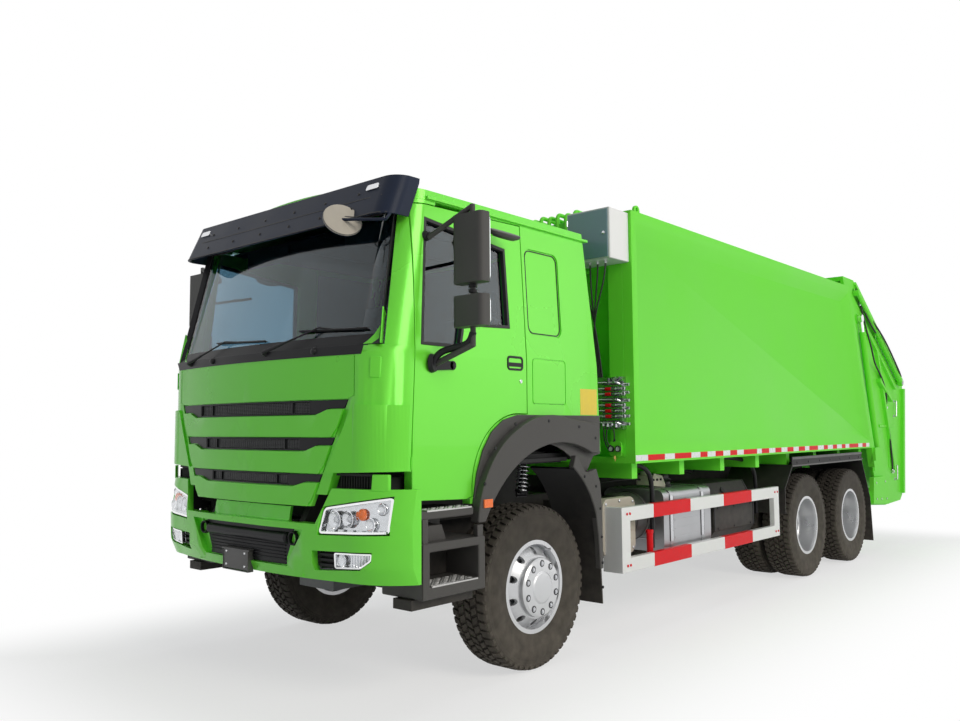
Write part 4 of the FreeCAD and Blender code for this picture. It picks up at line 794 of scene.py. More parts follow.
@step
class TRUCK_OT_bumper_fittings(Operator):
    """Adds the air intake's insert, the blank plate holder, the upstand and the corner vents"""
    bl_idname = "truck.bumper_fittings"
    bl_label = "Bumper fittings"

    def execute(self, context):
        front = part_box("bumper")[0].y
        # insert of the middle air opening
        bm = bmesh.new()
        laid(bm, [(-0.428, 0.778), (0.428, 0.778), (0.58, 0.994), (-0.58, 0.994)], "bumper",
             proud=-0.046, thick=0.008, level=1.02, step=0.1)
        for x in (-0.49, 0.49):
            turning(bm, [(0.0, 0.03), (-0.02, 0.033), (-0.022, 0.04), (0.0, 0.044), (0.012, 0.044)],
                    Vector((x * 0.98, front_of("bumper", x, 1.02) + 0.04, 0.938)), 24, (0, 1, 0))
        profile = [(-0.43, 0.0), (-0.43, 0.024), (-0.42, 0.034), (0.42, 0.034), (0.43, 0.024),
                   (0.43, 0.0)]
        turning(bm, profile, Vector((0, front + 0.052, 0.935)), 20)
        for i in range(5):
            z = 0.806 + i * 0.02
            laid(bm, rect(-0.4, z, 0.4, z + 0.006), "bumper", proud=-0.036, thick=0.012, level=1.02,
                 step=0.1)
        piece("intake_insert", bm, "chassis", black_trim(), bevel=0.002)

        # blank plate in its folded holder
        y = front + 0.006
        bm = bmesh.new()
        lo, hi = -0.205, 0.095
        block(bm, (lo + 0.02, y, 0.712), (hi - 0.02, y + 0.004, 0.838))
        block(bm, (lo, y - 0.004, 0.836), (hi, y + 0.045, 0.842))
        block(bm, (lo, y - 0.004, 0.828), (hi, y, 0.842))
        for x in (lo + 0.012, hi - 0.018):
            block(bm, (x, y - 0.003, 0.702), (x + 0.006, y + 0.04, 0.836))
        block(bm, (lo + 0.01, y - 0.003, 0.702), (hi - 0.01, y + 0.02, 0.708))
        piece("plate_holder", bm, "chassis", satin_grey(), bevel=0.002, heal=False)
        bm = bmesh.new()
        for x in (lo + 0.05, hi - 0.05):
            for z in (0.735, 0.815):
                turning(bm, [(0.0, 0.008), (-0.003, 0.007), (-0.004, 0.0)], Vector((x, y, z)), 12,
                        (0, 1, 0))
        piece("plate_screws", bm, "chassis", bright_steel())

        for side in SIDES:
            # dark vent over the bumper's corner, and the post outside it
            bm = bmesh.new()
            for i in range(13):
                x = 0.8 + i * 0.0185
                y = front_of("bumper", x, 1.2)
                block(bm, (x, y + 0.055, 1.232), (x + 0.006, y + 0.085, 1.318))
            laid(bm, rect(0.748, 1.232, 1.05, 1.322), "bumper", proud=-0.085, thick=0.01, level=1.2)
            laid(bm, rect(0.748, 1.31, 1.05, 1.322), "bumper", proud=-0.04, thick=0.04, level=1.2)
            piece("corner_vent", bm, "chassis", deep_black(), side=side, heal=False)
            bm = bmesh.new()
            laid(bm, [(1.052, 1.23), (1.138, 1.23), (1.138, 1.322), (1.058, 1.322)], "bumper",
                 proud=-0.001, thick=0.022, level=1.2, step=0.02)
            piece("corner_post", bm, "cab", paint(), side=side, bevel=0.004)
            # dark plate behind the corner, painted shade that closes the view under the cab
            bm = bmesh.new()
            block(bm, (1.06, AXLE_Y - 1.3, 1.0), (1.066, AXLE_Y - 1.0, 1.3))
            piece("under_cab_shade_plate", bm, "chassis", deep_black(), side=side, heal=False)
        return {"FINISHED"}


LAMP_OUTLINE = [(0.711, 0.983), (1.155, 0.998), (1.16, 1.196), (0.742, 1.13)]
FOG_OUTLINE = [(0.822, 0.792), (1.0, 0.802), (1.064, 0.848), (1.069, 0.889), (0.822, 0.883)]


@step
class TRUCK_OT_headlamps(Operator):
    """Makes the headlamps and fog lamps: bowls, bulbs, bright rims and clear lenses"""
    bl_idname = "truck.headlamps"
    bl_label = "Headlamps"

    def execute(self, context):
        for side in SIDES:
            lenses, rims, bm = (bmesh.new() for _ in range(3))
            # outline, corner, rim's width and depth, depth of the silver bowl
            for outline, soft, ring, deep, bowl in (
                (LAMP_OUTLINE, 0.022, 0.013, 0.03, 0.03), (FOG_OUTLINE, 0.012, 0.009, 0.026, 0.024)):
                laid(lenses, outline, "headlamps", thick=0.003, soft=soft, step=0.03)
                laid(rims, outline, "headlamps", proud=0.004, thick=deep, soft=soft, ring=ring,
                     step=0.03)
                laid(bm, outline, "headlamps", proud=-bowl, soft=soft, step=0.03)
            piece("lamp_lens", lenses, "chassis", lamp_glass(), side=side)
            piece("lamp_rims", rims, "chassis", chrome(), side=side, bevel=0.0015, segments=1)
            for x, z, r in ((0.812, 1.062, 0.05), (0.905, 1.07, 0.044), (1.052, 1.045, 0.036),
                            (1.1, 1.13, 0.03)):
                y = front_of("headlamps", x, z) + 0.03
                turning(bm, [(-0.02, r + 0.004), (-0.022, r), (-0.012, r * 0.86), (-0.004, r * 0.5),
                             (0.0, 0.0)], Vector((x, y, z)), 28, (0, 1, 0))
            for i in range(6):
                x = 0.765 + i * 0.066
                y = front_of("headlamps", x, 1.0) + 0.02
                block(bm, (x, y, 0.998), (x + 0.05, y + 0.012, 1.012))
            piece("lamp_bowls", bm, "chassis", lamp_silver(), side=side, heal=False)
            bm = bmesh.new()
            for x, z, r in ((0.812, 1.062, 0.013), (0.905, 1.07, 0.012)):
                y = front_of("headlamps", x, z) + 0.03
                turning(bm, [(0.0, r * 1.6), (-0.01, r * 1.5), (-0.016, r), (-0.021, r * 0.6),
                             (-0.023, 0.0)], Vector((x, y, z)), 20, (0, 1, 0))
            piece("lamp_bulbs", bm, "chassis", bright_steel(), side=side)
            bm = bmesh.new()
            x, z = 0.99, 1.098
            y = front_of("headlamps", x, z) + 0.028
            turning(bm, [(0.0, 0.034), (-0.01, 0.033), (-0.018, 0.024), (-0.023, 0.012), (-0.024, 0.0)],
                    Vector((x, y, z)), 24, (0, 1, 0))
            plate(bm, [(x - 0.05, y - 0.012, z - 0.01), (x, y - 0.012, z - 0.018),
                       (x, y - 0.012, z + 0.02), (x - 0.04, y - 0.012, z + 0.016)], (0, 0.01, 0))
            piece("lamp_ambers", bm, "chassis", amber(), side=side)
            # fog lamp's reflector flutes, and louvres beside it
            bm = bmesh.new()
            turning(bm, [(-0.014, 0.036), (-0.006, 0.024), (0.0, 0.0)],
                    Vector((0.868, front_of("headlamps", 0.868, 0.84) + 0.024, 0.84)), 24, (0, 1, 0))
            for i in range(7):
                x = 0.925 + i * 0.018
                y = front_of("headlamps", min(x, 1.05), 0.86) + 0.024
                rod(bm, (x, y - 0.003, 0.806 + max(0.0, i - 3) * 0.012), (x, y - 0.003, 0.88), 0.007, 8)
            piece("fog_bowls", bm, "chassis", lamp_silver(), side=side)
            bm = bmesh.new()
            for i in range(3):
                z = 0.797 + i * 0.029
                laid(bm, rect(0.676 - i * 0.003, z, 0.81, z + 0.014), "bumper", proud=-0.012,
                     thick=0.03, level=0.76, step=0.05)
            laid(bm, [(0.672, 0.778), (1.0, 0.8), (1.068, 0.846), (1.072, 0.893), (0.666, 0.882)],
                 "bumper", proud=-0.04, thick=0.008, level=0.76, step=0.05)
            piece("fog_louvres", bm, "chassis", black_trim(), side=side, heal=False)
        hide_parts("headlamps")
        return {"FINISHED"}


SCREEN = [(-1.085, 2.056), (1.085, 2.056), (1.015, 2.903), (-1.015, 2.903)]


def wiper(bm, pivot, elbow, tip_a, tip_b):
    """Adds a wiper: pivot head, arm and blade; places are (x, z) on the windscreen."""
    def on_glass(spot, proud):
        return Vector((spot[0], front_of("windscreen", spot[0], max(spot[1], 2.06)) - proud, spot[1]))
    foot = Vector((pivot[0], front_of("cab_front", pivot[0], 2.02) - 0.004, pivot[1]))
    rod(bm, foot, foot + Vector((0, -0.034, 0.01)), 0.021, 14, 0.016)
    head = foot + Vector((0, -0.03, 0.008))
    bend = on_glass(elbow, 0.03)
    rod(bm, head, head.lerp(bend, 0.35), 0.012, 8, 0.009)
    rod(bm, head.lerp(bend, 0.35), bend, 0.007, 8, 0.005)
    a, b = on_glass(tip_a, 0.016), on_glass(tip_b, 0.016)
    rod(bm, bend, a.lerp(b, 0.5), 0.006, 8)
    for t in (0.12, 0.5, 0.88):
        spot = a.lerp(b, t)
        rod(bm, spot + Vector((0, -0.012, 0)), spot + Vector((0, 0.008, 0)), 0.007, 8)
    rod(bm, a + Vector((0, -0.006, 0)), b + Vector((0, -0.006, 0)), 0.0055, 6)
    rod(bm, a + Vector((0, 0.006, -0.004)), b + Vector((0, 0.006, -0.004)), 0.0045, 6)


@step
class TRUCK_OT_screen_fittings(Operator):
    """Adds the windscreen's black border, the cowl band and the wipers"""
    bl_idname = "truck.screen_fittings"
    bl_label = "Windscreen fittings"

    def execute(self, context):
        bm = bmesh.new()
        laid(bm, SCREEN, "windscreen", proud=0.003, thick=0.006, ring=0.034, step=0.08)
        laid(bm, [(-1.065, 2.06), (1.065, 2.06), (1.06, 2.118), (-1.06, 2.118)], "windscreen",
             proud=0.0034, thick=0.005, step=0.08)
        laid(bm, [(-1.03, 2.862), (1.03, 2.862), (1.026, 2.898), (-1.026, 2.898)], "windscreen",
             proud=0.0034, thick=0.005, step=0.08)
        laid(bm, [(-0.985, 1.998), (0.985, 1.998), (1.01, 2.052), (-1.01, 2.052)], "cab_front",
             proud=0.003, thick=0.006, step=0.06)
        piece("screen_border", bm, "cab", black_trim(), bevel=0.001, segments=1)
        bm = bmesh.new()
        corner = [(0.958, 2.0585), (1.088, 2.0585), (1.07, 2.27), (1.058, 2.225), (1.044, 2.165),
                  (1.022, 2.115), (0.994, 2.082)]
        laid(bm, corner, "windscreen", proud=0.006, thick=0.01, step=0.02)
        laid(bm, flipped(corner), "windscreen", proud=0.006, thick=0.01, step=0.02)
        piece("screen_corners", bm, "cab", paint(), bevel=0.003)
        bm = bmesh.new()
        wiper(bm, (-0.77, 2.028), (-0.38, 2.16), (-0.5, 2.16), (0.1, 2.132))
        wiper(bm, (0.19, 2.04), (0.6, 2.178), (0.42, 2.17), (0.98, 2.15))
        for x in (-0.43, 0.63):
            y = front_of("cab_front", x, 2.02) - 0.002
            turning(bm, [(0.0, 0.03), (-0.008, 0.028), (-0.012, 0.02), (-0.026, 0.017), (-0.03, 0.01),
                         (-0.031, 0.0)], Vector((x, y, 2.03)), 18, (0, 1, 0))
            rod(bm, (x - 0.05, y - 0.006, 2.036), (x, y - 0.006, 2.036), 0.006, 8)
        piece("wipers", bm, "cab", black_trim(), heal=False)
        for side in SIDES:
            bm = bmesh.new()
            laid(bm, [(1.04, 1.866), (1.088, 1.862), (1.092, 1.98), (1.044, 1.984)], "cab_front",
                 proud=0.008, thick=0.012, soft=0.006, step=0.02)
            piece("hinge_cover", bm, "cab", paint(), side=side, bevel=0.002)
        return {"FINISHED"}


# ------------------------------------------------------------ cab sides
# window opening of the door, in (y from the front axle, z)
WINDOW = [(-1.07, 2.06), (-0.725, 2.06), (-0.69, 2.2), (-0.25, 2.219), (-0.262, 2.745), (-1.0, 2.83)]


@step
class TRUCK_OT_door_fittings(Operator):
    """Adds window rubbers, handles, locks, the mirrors' arms and glasses and inner panels"""
    bl_idname = "truck.door_fittings"
    bl_label = "Door fittings"

    @on_both_sides
    def execute(side):
        door = "door_" + side
        bm = bmesh.new()
        laid(bm, WINDOW, "door_left", proud=0.001, thick=0.03, ring=0.02, side=True, level=2.052,
             step=0.2)
        for v in bm.verts:
            v.co.x -= max(0.0, v.co.z - 2.06) * 0.0585
        laid(bm, [(-0.7, 2.208), (-0.262, 2.226), (-0.262, 2.236), (-0.7, 2.218)], "door_glass_left",
             proud=0.01, thick=0.006, side=True, step=0.2)
        piece("window_rubber", bm, door, rubber_trim(), side=side, bevel=0.002)
        # handle: a black surround, a dish and a bar across it
        x = side_of("door_left", AXLE_Y - 0.215, 1.92)
        bm = bmesh.new()
        laid(bm, rect(-0.297, 1.947, -0.135, 2.041), "door_left", proud=0.005, thick=0.009, ring=0.014,
             soft=0.028, side=True, level=1.92)
        blocks(bm, (x - 0.004, -0.286, 1.972, x + 0.004, -0.146, 1.998),
               (x - 0.022, -0.286, 1.954, x - 0.018, -0.146, 2.034))
        for y in (-0.284, -0.156):
            block(bm, at(x - 0.018, y, 1.972), at(x + 0.002, y + 0.008, 1.998))
        piece("handle", bm, door, black_trim(), side=side, bevel=0.003)
        bm = bmesh.new()
        turning(bm, [(0.0, 0.013), (0.004, 0.013), (0.006, 0.01), (0.005, 0.006), (0.005, 0.0)],
                at(x, -0.158, 1.878), 20)
        block(bm, at(x + 0.004, -0.1595, 1.871), at(x + 0.0065, -0.1565, 1.885))
        piece("door_lock", bm, door, bright_steel(), side=side, heal=False)
        # inner panel
        bm = bmesh.new()
        blocks(bm, (1.096, -1.085, 1.46, 1.106, -0.15, 2.03), (1.062, -0.96, 1.78, 1.1, -0.3, 1.83),
               (1.07, -0.9, 1.52, 1.1, -0.34, 1.6))
        piece("door_card", bm, door, cabin_trim(), side=side, bevel=0.008, heal=False)
        # mirrors: curved arm with its two-lobed foot, upper bracket, clamps
        bm = bmesh.new()
        rods(bm, (1.166, -0.985, 1.955, 1.19, -0.975, 1.955, 0.058, 22, 0.05),
             (1.166, -0.815, 1.95, 1.182, -0.815, 1.95, 0.028, 16))
        web = ((-0.985, 1.985), (-0.812, 1.972), (-0.812, 1.925), (-0.985, 1.912))
        plate(bm, upright(1.168, web), (0.014, 0, 0))
        rods(bm, (1.182, -0.815, 1.95, 1.19, -0.815, 1.95, 0.012, 6),
             (1.112, -0.995, 2.715, 1.15, -0.99, 2.708, 0.036, 16, 0.026),
             (1.1, -0.7, 2.6, 1.4, -0.915, 2.56, 0.011, 10))
        for z in (2.355, 2.385):
            rod(bm, at(1.445, -0.93, z - 0.01), at(1.445, -0.93, z + 0.01), 0.026, 14)
        piece("mirror_feet", bm, door, black_trim(), side=side, heal=False, bevel=0.002)
        arm = [at(1.176, -0.985, 1.95), at(1.19, -0.972, 2.0), at(1.25, -0.955, 2.035),
               at(1.35, -0.935, 2.04), at(1.43, -0.93, 2.06), at(1.445, -0.93, 2.12)]
        if side == "right":
            arm = [Vector((-p.x, p.y, p.z)) for p in arm]
        pipes("mirror_arm_" + side, [arm], 0.021, door, black_trim(), order=4, sides=12)
        bm = bmesh.new()
        for z0, z1 in ((2.415, 2.785), (2.163, 2.317)):
            round_plate(bm, [at(x, -0.8945, z) for x, z in rect(1.345, z0, 1.545, z1)], 0.022, 5,
                        (0, 0.004, 0))
        piece("mirror_glasses", bm, door, mirror_glass(), side=side)
        # kerb mirror over the door, on two stays
        bm = bmesh.new()
        profile = [(-0.03, 0.0), (-0.028, 0.07), (-0.01, 0.105), (0.008, 0.112), (0.014, 0.104),
                   (0.014, 0.0)]
        turning(bm, profile, (0, 0, 0), 32, (0, 0, 1))
        bmesh.ops.scale(bm, vec=(0.62, 1.25, 1.0), verts=bm.verts)
        bmesh.ops.rotate(bm, cent=(0, 0, 0), matrix=Matrix.Rotation(math.radians(24), 3, "Y"),
                         verts=bm.verts)
        bmesh.ops.translate(bm, vec=at(1.255, -0.415, 2.8), verts=bm.verts)
        rods(bm, (1.095, -0.52, 2.845, 1.215, -0.45, 2.815, 0.01, 10),
             (1.095, -0.32, 2.85, 1.215, -0.39, 2.815, 0.01, 10))
        piece("kerb_mirror", bm, door, plastic(), side=side, bevel=0.003)


@step
class TRUCK_OT_side_fittings(Operator):
    """Adds hatch and blind-window seals, the blank sticker, markers and flare bolts"""
    bl_idname = "truck.side_fittings"
    bl_label = "Cab side fittings"

    @on_both_sides
    def execute(side):
        bm = bmesh.new()
        laid(bm, rect(-0.051, 2.205, 0.31, 2.778), "cab_sides", proud=0.004, thick=0.006, ring=0.007,
             soft=0.055, side=True, step=0.2)
        piece("blind_window_seal", bm, "cab", rubber_trim(), side=side)
        bm = bmesh.new()
        laid(bm, rect(-0.031, 1.732, 0.339, 2.036), "cab_sides", proud=-0.006, thick=0.003, ring=0.006,
             soft=0.027, side=True, level=1.7, step=0.2)
        piece("hatch_seal", bm, "cab", rubber_trim(), side=side)
        bm = bmesh.new()
        laid(bm, rect(0.516, 1.664, 0.727, 1.85), "cab_sides", proud=0.001, thick=0.002, side=True,
             soft=0.004)
        piece("blank_sticker", bm, "cab", sticker_yellow(), side=side)
        bm = bmesh.new()
        block(bm, at(1.236, -0.618, 1.092), at(1.2395, -0.532, 1.15))
        piece("marker_back", bm, "cab", black_trim(), side=side, bevel=0.001)
        bm = bmesh.new()
        block(bm, at(1.2385, -0.614, 1.096), at(1.2475, -0.536, 1.146))
        for i in range(9):
            block(bm, at(1.247, -0.609 + i * 0.008, 1.1), at(1.2485, -0.605 + i * 0.008, 1.142))
        piece("marker", bm, "cab", amber(), side=side, bevel=0.002, heal=False)
        # bolts on the flare
        bm = bmesh.new()
        for y, z in ((-0.6, 1.24), (-0.5, 1.45), (-0.3, 1.6), (0.05, 1.62), (0.4, 1.58), (0.6, 1.5)):
            x = side_of("wheel_flares", AXLE_Y + y, z)
            turning(bm, [(-0.002, 0.012), (0.003, 0.01), (0.004, 0.0)], at(x, y, z), 12)
        piece("flare_bolts", bm, "cab", black_trim(), side=side)


@step
class TRUCK_OT_visor_fittings(Operator):
    """Adds the visor's lamps, bolts and seam, and the look-down mirror's glass"""
    bl_idname = "truck.visor_fittings"
    bl_label = "Visor fittings"

    def execute(self, context):
        bm = bmesh.new()
        for x in (-0.8, -0.48, -0.16, 0.16, 0.48, 0.8):
            for z in (2.875, 2.975):
                y = front_of("sun_visor", x, z)
                turning(bm, [(0.002, 0.012), (-0.003, 0.01), (-0.005, 0.005), (-0.005, 0.0)],
                        Vector((x, y, z)), 12, (0, 1, 0))
        piece("visor_bolts", bm, "cab", black_trim())
        bm = bmesh.new()
        laid(bm, rect(-1.02, 2.93, 1.02, 2.936), "sun_visor", proud=0.0015, thick=0.004, step=0.15)
        laid(bm, rect(-1.08, 2.815, 1.08, 2.822), "sun_visor", proud=0.003, thick=0.006, step=0.04)
        piece("visor_seam", bm, "cab", rubber_trim())
        for side in SIDES:
            bm = bmesh.new()
            laid(bm, [(0.86, 2.985), (0.97, 2.985), (0.965, 3.022), (0.865, 3.022)], "sun_visor",
                 proud=0.01, thick=0.014, soft=0.012, step=0.03)
            piece("visor_lamp", bm, "cab", lamp_silver(), side=side, bevel=0.003)
        bm = bmesh.new()
        centre = at(0.803, -1.36, 2.791)
        normal = Vector((0.765, -0.323, 0.458)).normalized()
        turning(bm, [(0.0, 0.117), (0.01, 0.119), (0.016, 0.114), (0.018, 0.104), (0.018, 0.0)],
                centre, 40, normal)
        piece("look_down_back", bm, "cab", bleached())
        bm = bmesh.new()
        turning(bm, [(0.0, 0.11), (-0.004, 0.108), (-0.006, 0.06), (-0.007, 0.0)], centre, 40, normal)
        piece("look_down_glass", bm, "cab", mirror_glass())
        return {"FINISHED"}


@step
class TRUCK_OT_step_fittings(Operator):
    """Adds the step treads, their bright edges and the brackets round the steps"""
    bl_idname = "truck.step_fittings"
    bl_label = "Step fittings"

    @on_both_sides
    def execute(side):
        bm = bmesh.new()
        for x0, x1, y0, y1, z in ((1.125, 1.216, -1.07, -0.71, 1.1095),
                                  (1.075, 1.222, -1.045, -0.69, 0.6895)):
            block(bm, at(x0, y0, z), at(x1, y1, z + 0.004))
            nx, ny = max(2, round((x1 - x0) / 0.032)), round((y1 - y0) / 0.036)
            for i in range(nx):
                for k in range(ny):
                    spot = at(x0 + (i + 0.5) * (x1 - x0) / nx, y0 + (k + 0.5) * (y1 - y0) / ny,
                              z + 0.0035)
                    turn = math.radians(45 if (i + k) % 2 else -45)
                    made = block(bm, spot - Vector((0.013, 0.004, 0)),
                                 spot + Vector((0.013, 0.004, 0.005)))
                    bmesh.ops.rotate(bm, cent=spot, matrix=Matrix.Rotation(turn, 3, "Z"), verts=made)
        blocks(bm, (1.228, -1.055, 0.684, 1.2415, -0.67, 0.694),
               (1.214, -1.075, 1.104, 1.2215, -0.7, 1.114))
        piece("step_treads", bm, "chassis", tread_alloy(), side=side, bevel=0.0012, segments=1,
              heal=False)
        bm = bmesh.new()
        blocks(bm, (1.185, -1.115, 0.925, 1.225, -1.07, 1.065), (1.03, -1.1, 0.925, 1.04, -0.86, 1.02),
               (1.2, -0.665, 0.925, 1.236, -0.615, 1.0))
        gusset = ((-1.1, 0.928), (-0.86, 0.928), (-0.9, 1.02), (-1.06, 1.02))
        plate(bm, upright(1.045, gusset), (0.12, 0, 0))
        piece("step_brackets", bm, "chassis", plastic(), side=side, bevel=0.004, heal=False)
        bm = bmesh.new()
        blocks(bm, (0.965, -0.88, 0.694, 0.975, -0.665, 0.876),
               (1.236, -1.1295, 0.624, 1.2405, -1.1265, 0.926), (1.02, -1.15, 0.56, 1.17, -0.64, 0.618))
        piece("step_liner", bm, "chassis", chassis_black(), side=side, bevel=0.003,
              heal=False)


# ------------------------------------------------------------ load body
# joints between the tape's tiles, from the front axle, the first tile white
TAPE_JOINTS = (1.12, 1.3, 1.56, 1.72, 2.0, 2.16, 2.29, 2.44, 2.59, 2.73, 2.87, 3.01, 3.3, 3.41, 3.58,
               3.73, 3.88, 4.03, 4.19, 4.33, 4.5, 4.62, 4.87, 5.05, 5.17, 5.33, 5.46, 5.62, 5.74, 5.87,
               6.19, 6.34, 6.48, 6.6)
TAPE_Z = 1.318
RIB_PITCH = 0.05
# heights of the hand valves, from the top
LEVERS = (1.915, 1.868, 1.828, 1.785, 1.743, 1.7, 1.658, 1.61)


@step
class TRUCK_OT_tape(Operator):
    """Lays the red and white tape along both sides of the body"""
    bl_idname = "truck.tape"
    bl_label = "Reflective tape"

    @on_both_sides
    def execute(side):
        tall = settings().tape_height
        z0 = TAPE_Z
        skin_x = side_of("body_sides", AXLE_Y + 3.0, z0)
        red = bmesh.new()
        white = bmesh.new()
        for i, (a, b) in enumerate(zip(TAPE_JOINTS[:-1], TAPE_JOINTS[1:])):
            bm = red if i % 2 else white
            block(bm, at(skin_x - 0.0005, a + 0.001, z0), at(skin_x + 0.0012, b - 0.001, z0 + tall))
            for k in range(int((b - a) / RIB_PITCH)):
                y = a + RIB_PITCH / 2 + k * RIB_PITCH
                block(bm, at(skin_x + 0.0005, y, z0 + 0.003),
                      at(skin_x + 0.0016, y + 0.0012, z0 + tall - 0.003))
        piece("tape_red", red, "chassis", band_red(), side=side, heal=False)
        piece("tape_white", white, "chassis", tape_white(), side=side, heal=False)


@step
class TRUCK_OT_valves(Operator):
    """Adds the hand levers, fittings, hoses, gauges and drain at the body's front corner"""
    bl_idname = "truck.valves"
    bl_label = "Valves and gauges"

    def execute(self, context):
        steel = bmesh.new()
        red = bmesh.new()
        black = bmesh.new()
        for i, z in enumerate(LEVERS):
            lever = i in (1, 2, 4, 5, 6)
            end = 1.196 if lever else 1.15
            rods(steel, (0.985, 1.03, z, end, 1.03, z, 0.0065, 10),
                 (1.115, 1.03, z, 1.14, 1.03, z, 0.011, 6))
            if lever:
                ring_round(steel, at(end + 0.012, 1.03, z), (0, 1, 0), 0.0125, 0.005, 16, 8)
                rod(red, at(1.048, 1.03, z), at(1.1, 1.03, z), 0.0125, 12)
                rods(black, (1.1, 1.03, z, 1.113, 1.03, z, 0.01, 12),
                     (end + 0.012, 1.02, z, end + 0.012, 1.04, z, 0.006, 10))
            else:
                rod(steel, at(end, 1.03, z), at(end + 0.022, 1.045, z - 0.012), 0.009, 8)
            block(black, at(1.01, 1.04, z - 0.016), at(1.15, 1.062, z + 0.016))
            rod(black, at(1.165, 1.05, z), at(1.196, 1.05, z), 0.01, 12)
        rod(black, at(1.075, 1.035, 1.9), at(1.075, 1.035, 1.95), 0.012, 10)
        rod(steel, at(1.12, 1.035, 1.93), at(1.15, 1.035, 1.955), 0.011, 8)
        for x, z in ((1.02, 1.585), (1.06, 1.58), (1.1, 1.59), (1.135, 1.575)):
            rod(steel, at(x, 1.04, z), at(x, 1.04, z + 0.025), 0.01, 6)
        piece("valve_levers", steel, "chassis", bright_steel())
        piece("valve_sleeves", red, "chassis", band_red(), bevel=0.002)
        piece("valve_sections", black, "chassis", engine_grey(), bevel=0.002, heal=False)
        runs = [[at(1.02, 1.04, 1.59), at(1.015, 1.04, 1.5), at(1.035, 1.045, 1.4),
                 at(1.07, 1.05, 1.405)],
                [at(1.06, 1.04, 1.58), at(1.04, 1.02, 1.5), at(1.06, 1.03, 1.42), at(1.08, 1.05, 1.44)],
                [at(1.1, 1.04, 1.59), at(1.13, 1.02, 1.54), at(1.12, 1.04, 1.49), at(1.1, 1.05, 1.465)],
                [at(0.98, 1.05, 1.62), at(0.94, 1.05, 1.5), at(0.93, 1.08, 1.4), at(0.9, 1.12, 1.36)]]
        pipes("valve_hoses", runs, 0.005, "chassis", rubber_trim(), order=4)
        bm = bmesh.new()
        round_plate(bm, [at(x, 1.046, z) for x, z in rect(1.062, 1.358, 1.172, 1.466)], 0.018, 4,
                    (0, 0.008, 0))
        block(bm, at(1.095, 1.052, 1.38), at(1.135, 1.118, 1.44))
        piece("gauge_bracket", bm, "chassis", paint(), bevel=0.0015)
        rims = bmesh.new()
        dials = bmesh.new()
        for x in (1.086, 1.147):
            turning(rims,
                    [(0.01, 0.024), (-0.01, 0.024), (-0.013, 0.022), (-0.013, 0.019), (-0.008, 0.018)],
                    at(x, 1.04, 1.412), 24, (0, 1, 0))
            turning(dials, [(0.0, 0.0185), (-0.007, 0.0185), (-0.008, 0.0)], at(x, 1.04, 1.412), 24,
                    (0, 1, 0))
        rod(rims, at(1.112, 1.05, 1.466), at(1.112, 1.05, 1.485), 0.006, 8)
        piece("gauge_rims", rims, "chassis", black_trim())
        piece("gauge_dials", dials, "chassis", tape_white())
        bm = bmesh.new()
        rods(bm, (1.112, 1.05, 1.358, 1.112, 1.05, 1.335, 0.008, 6),
             (1.112, 1.05, 1.338, 1.112, 1.05, 1.318, 0.005, 10, 0.003),
             (1.098, 1.05, 1.34, 1.126, 1.05, 1.34, 0.004, 8))
        piece("drain_tap", bm, "chassis", brass())
        return {"FINISHED"}


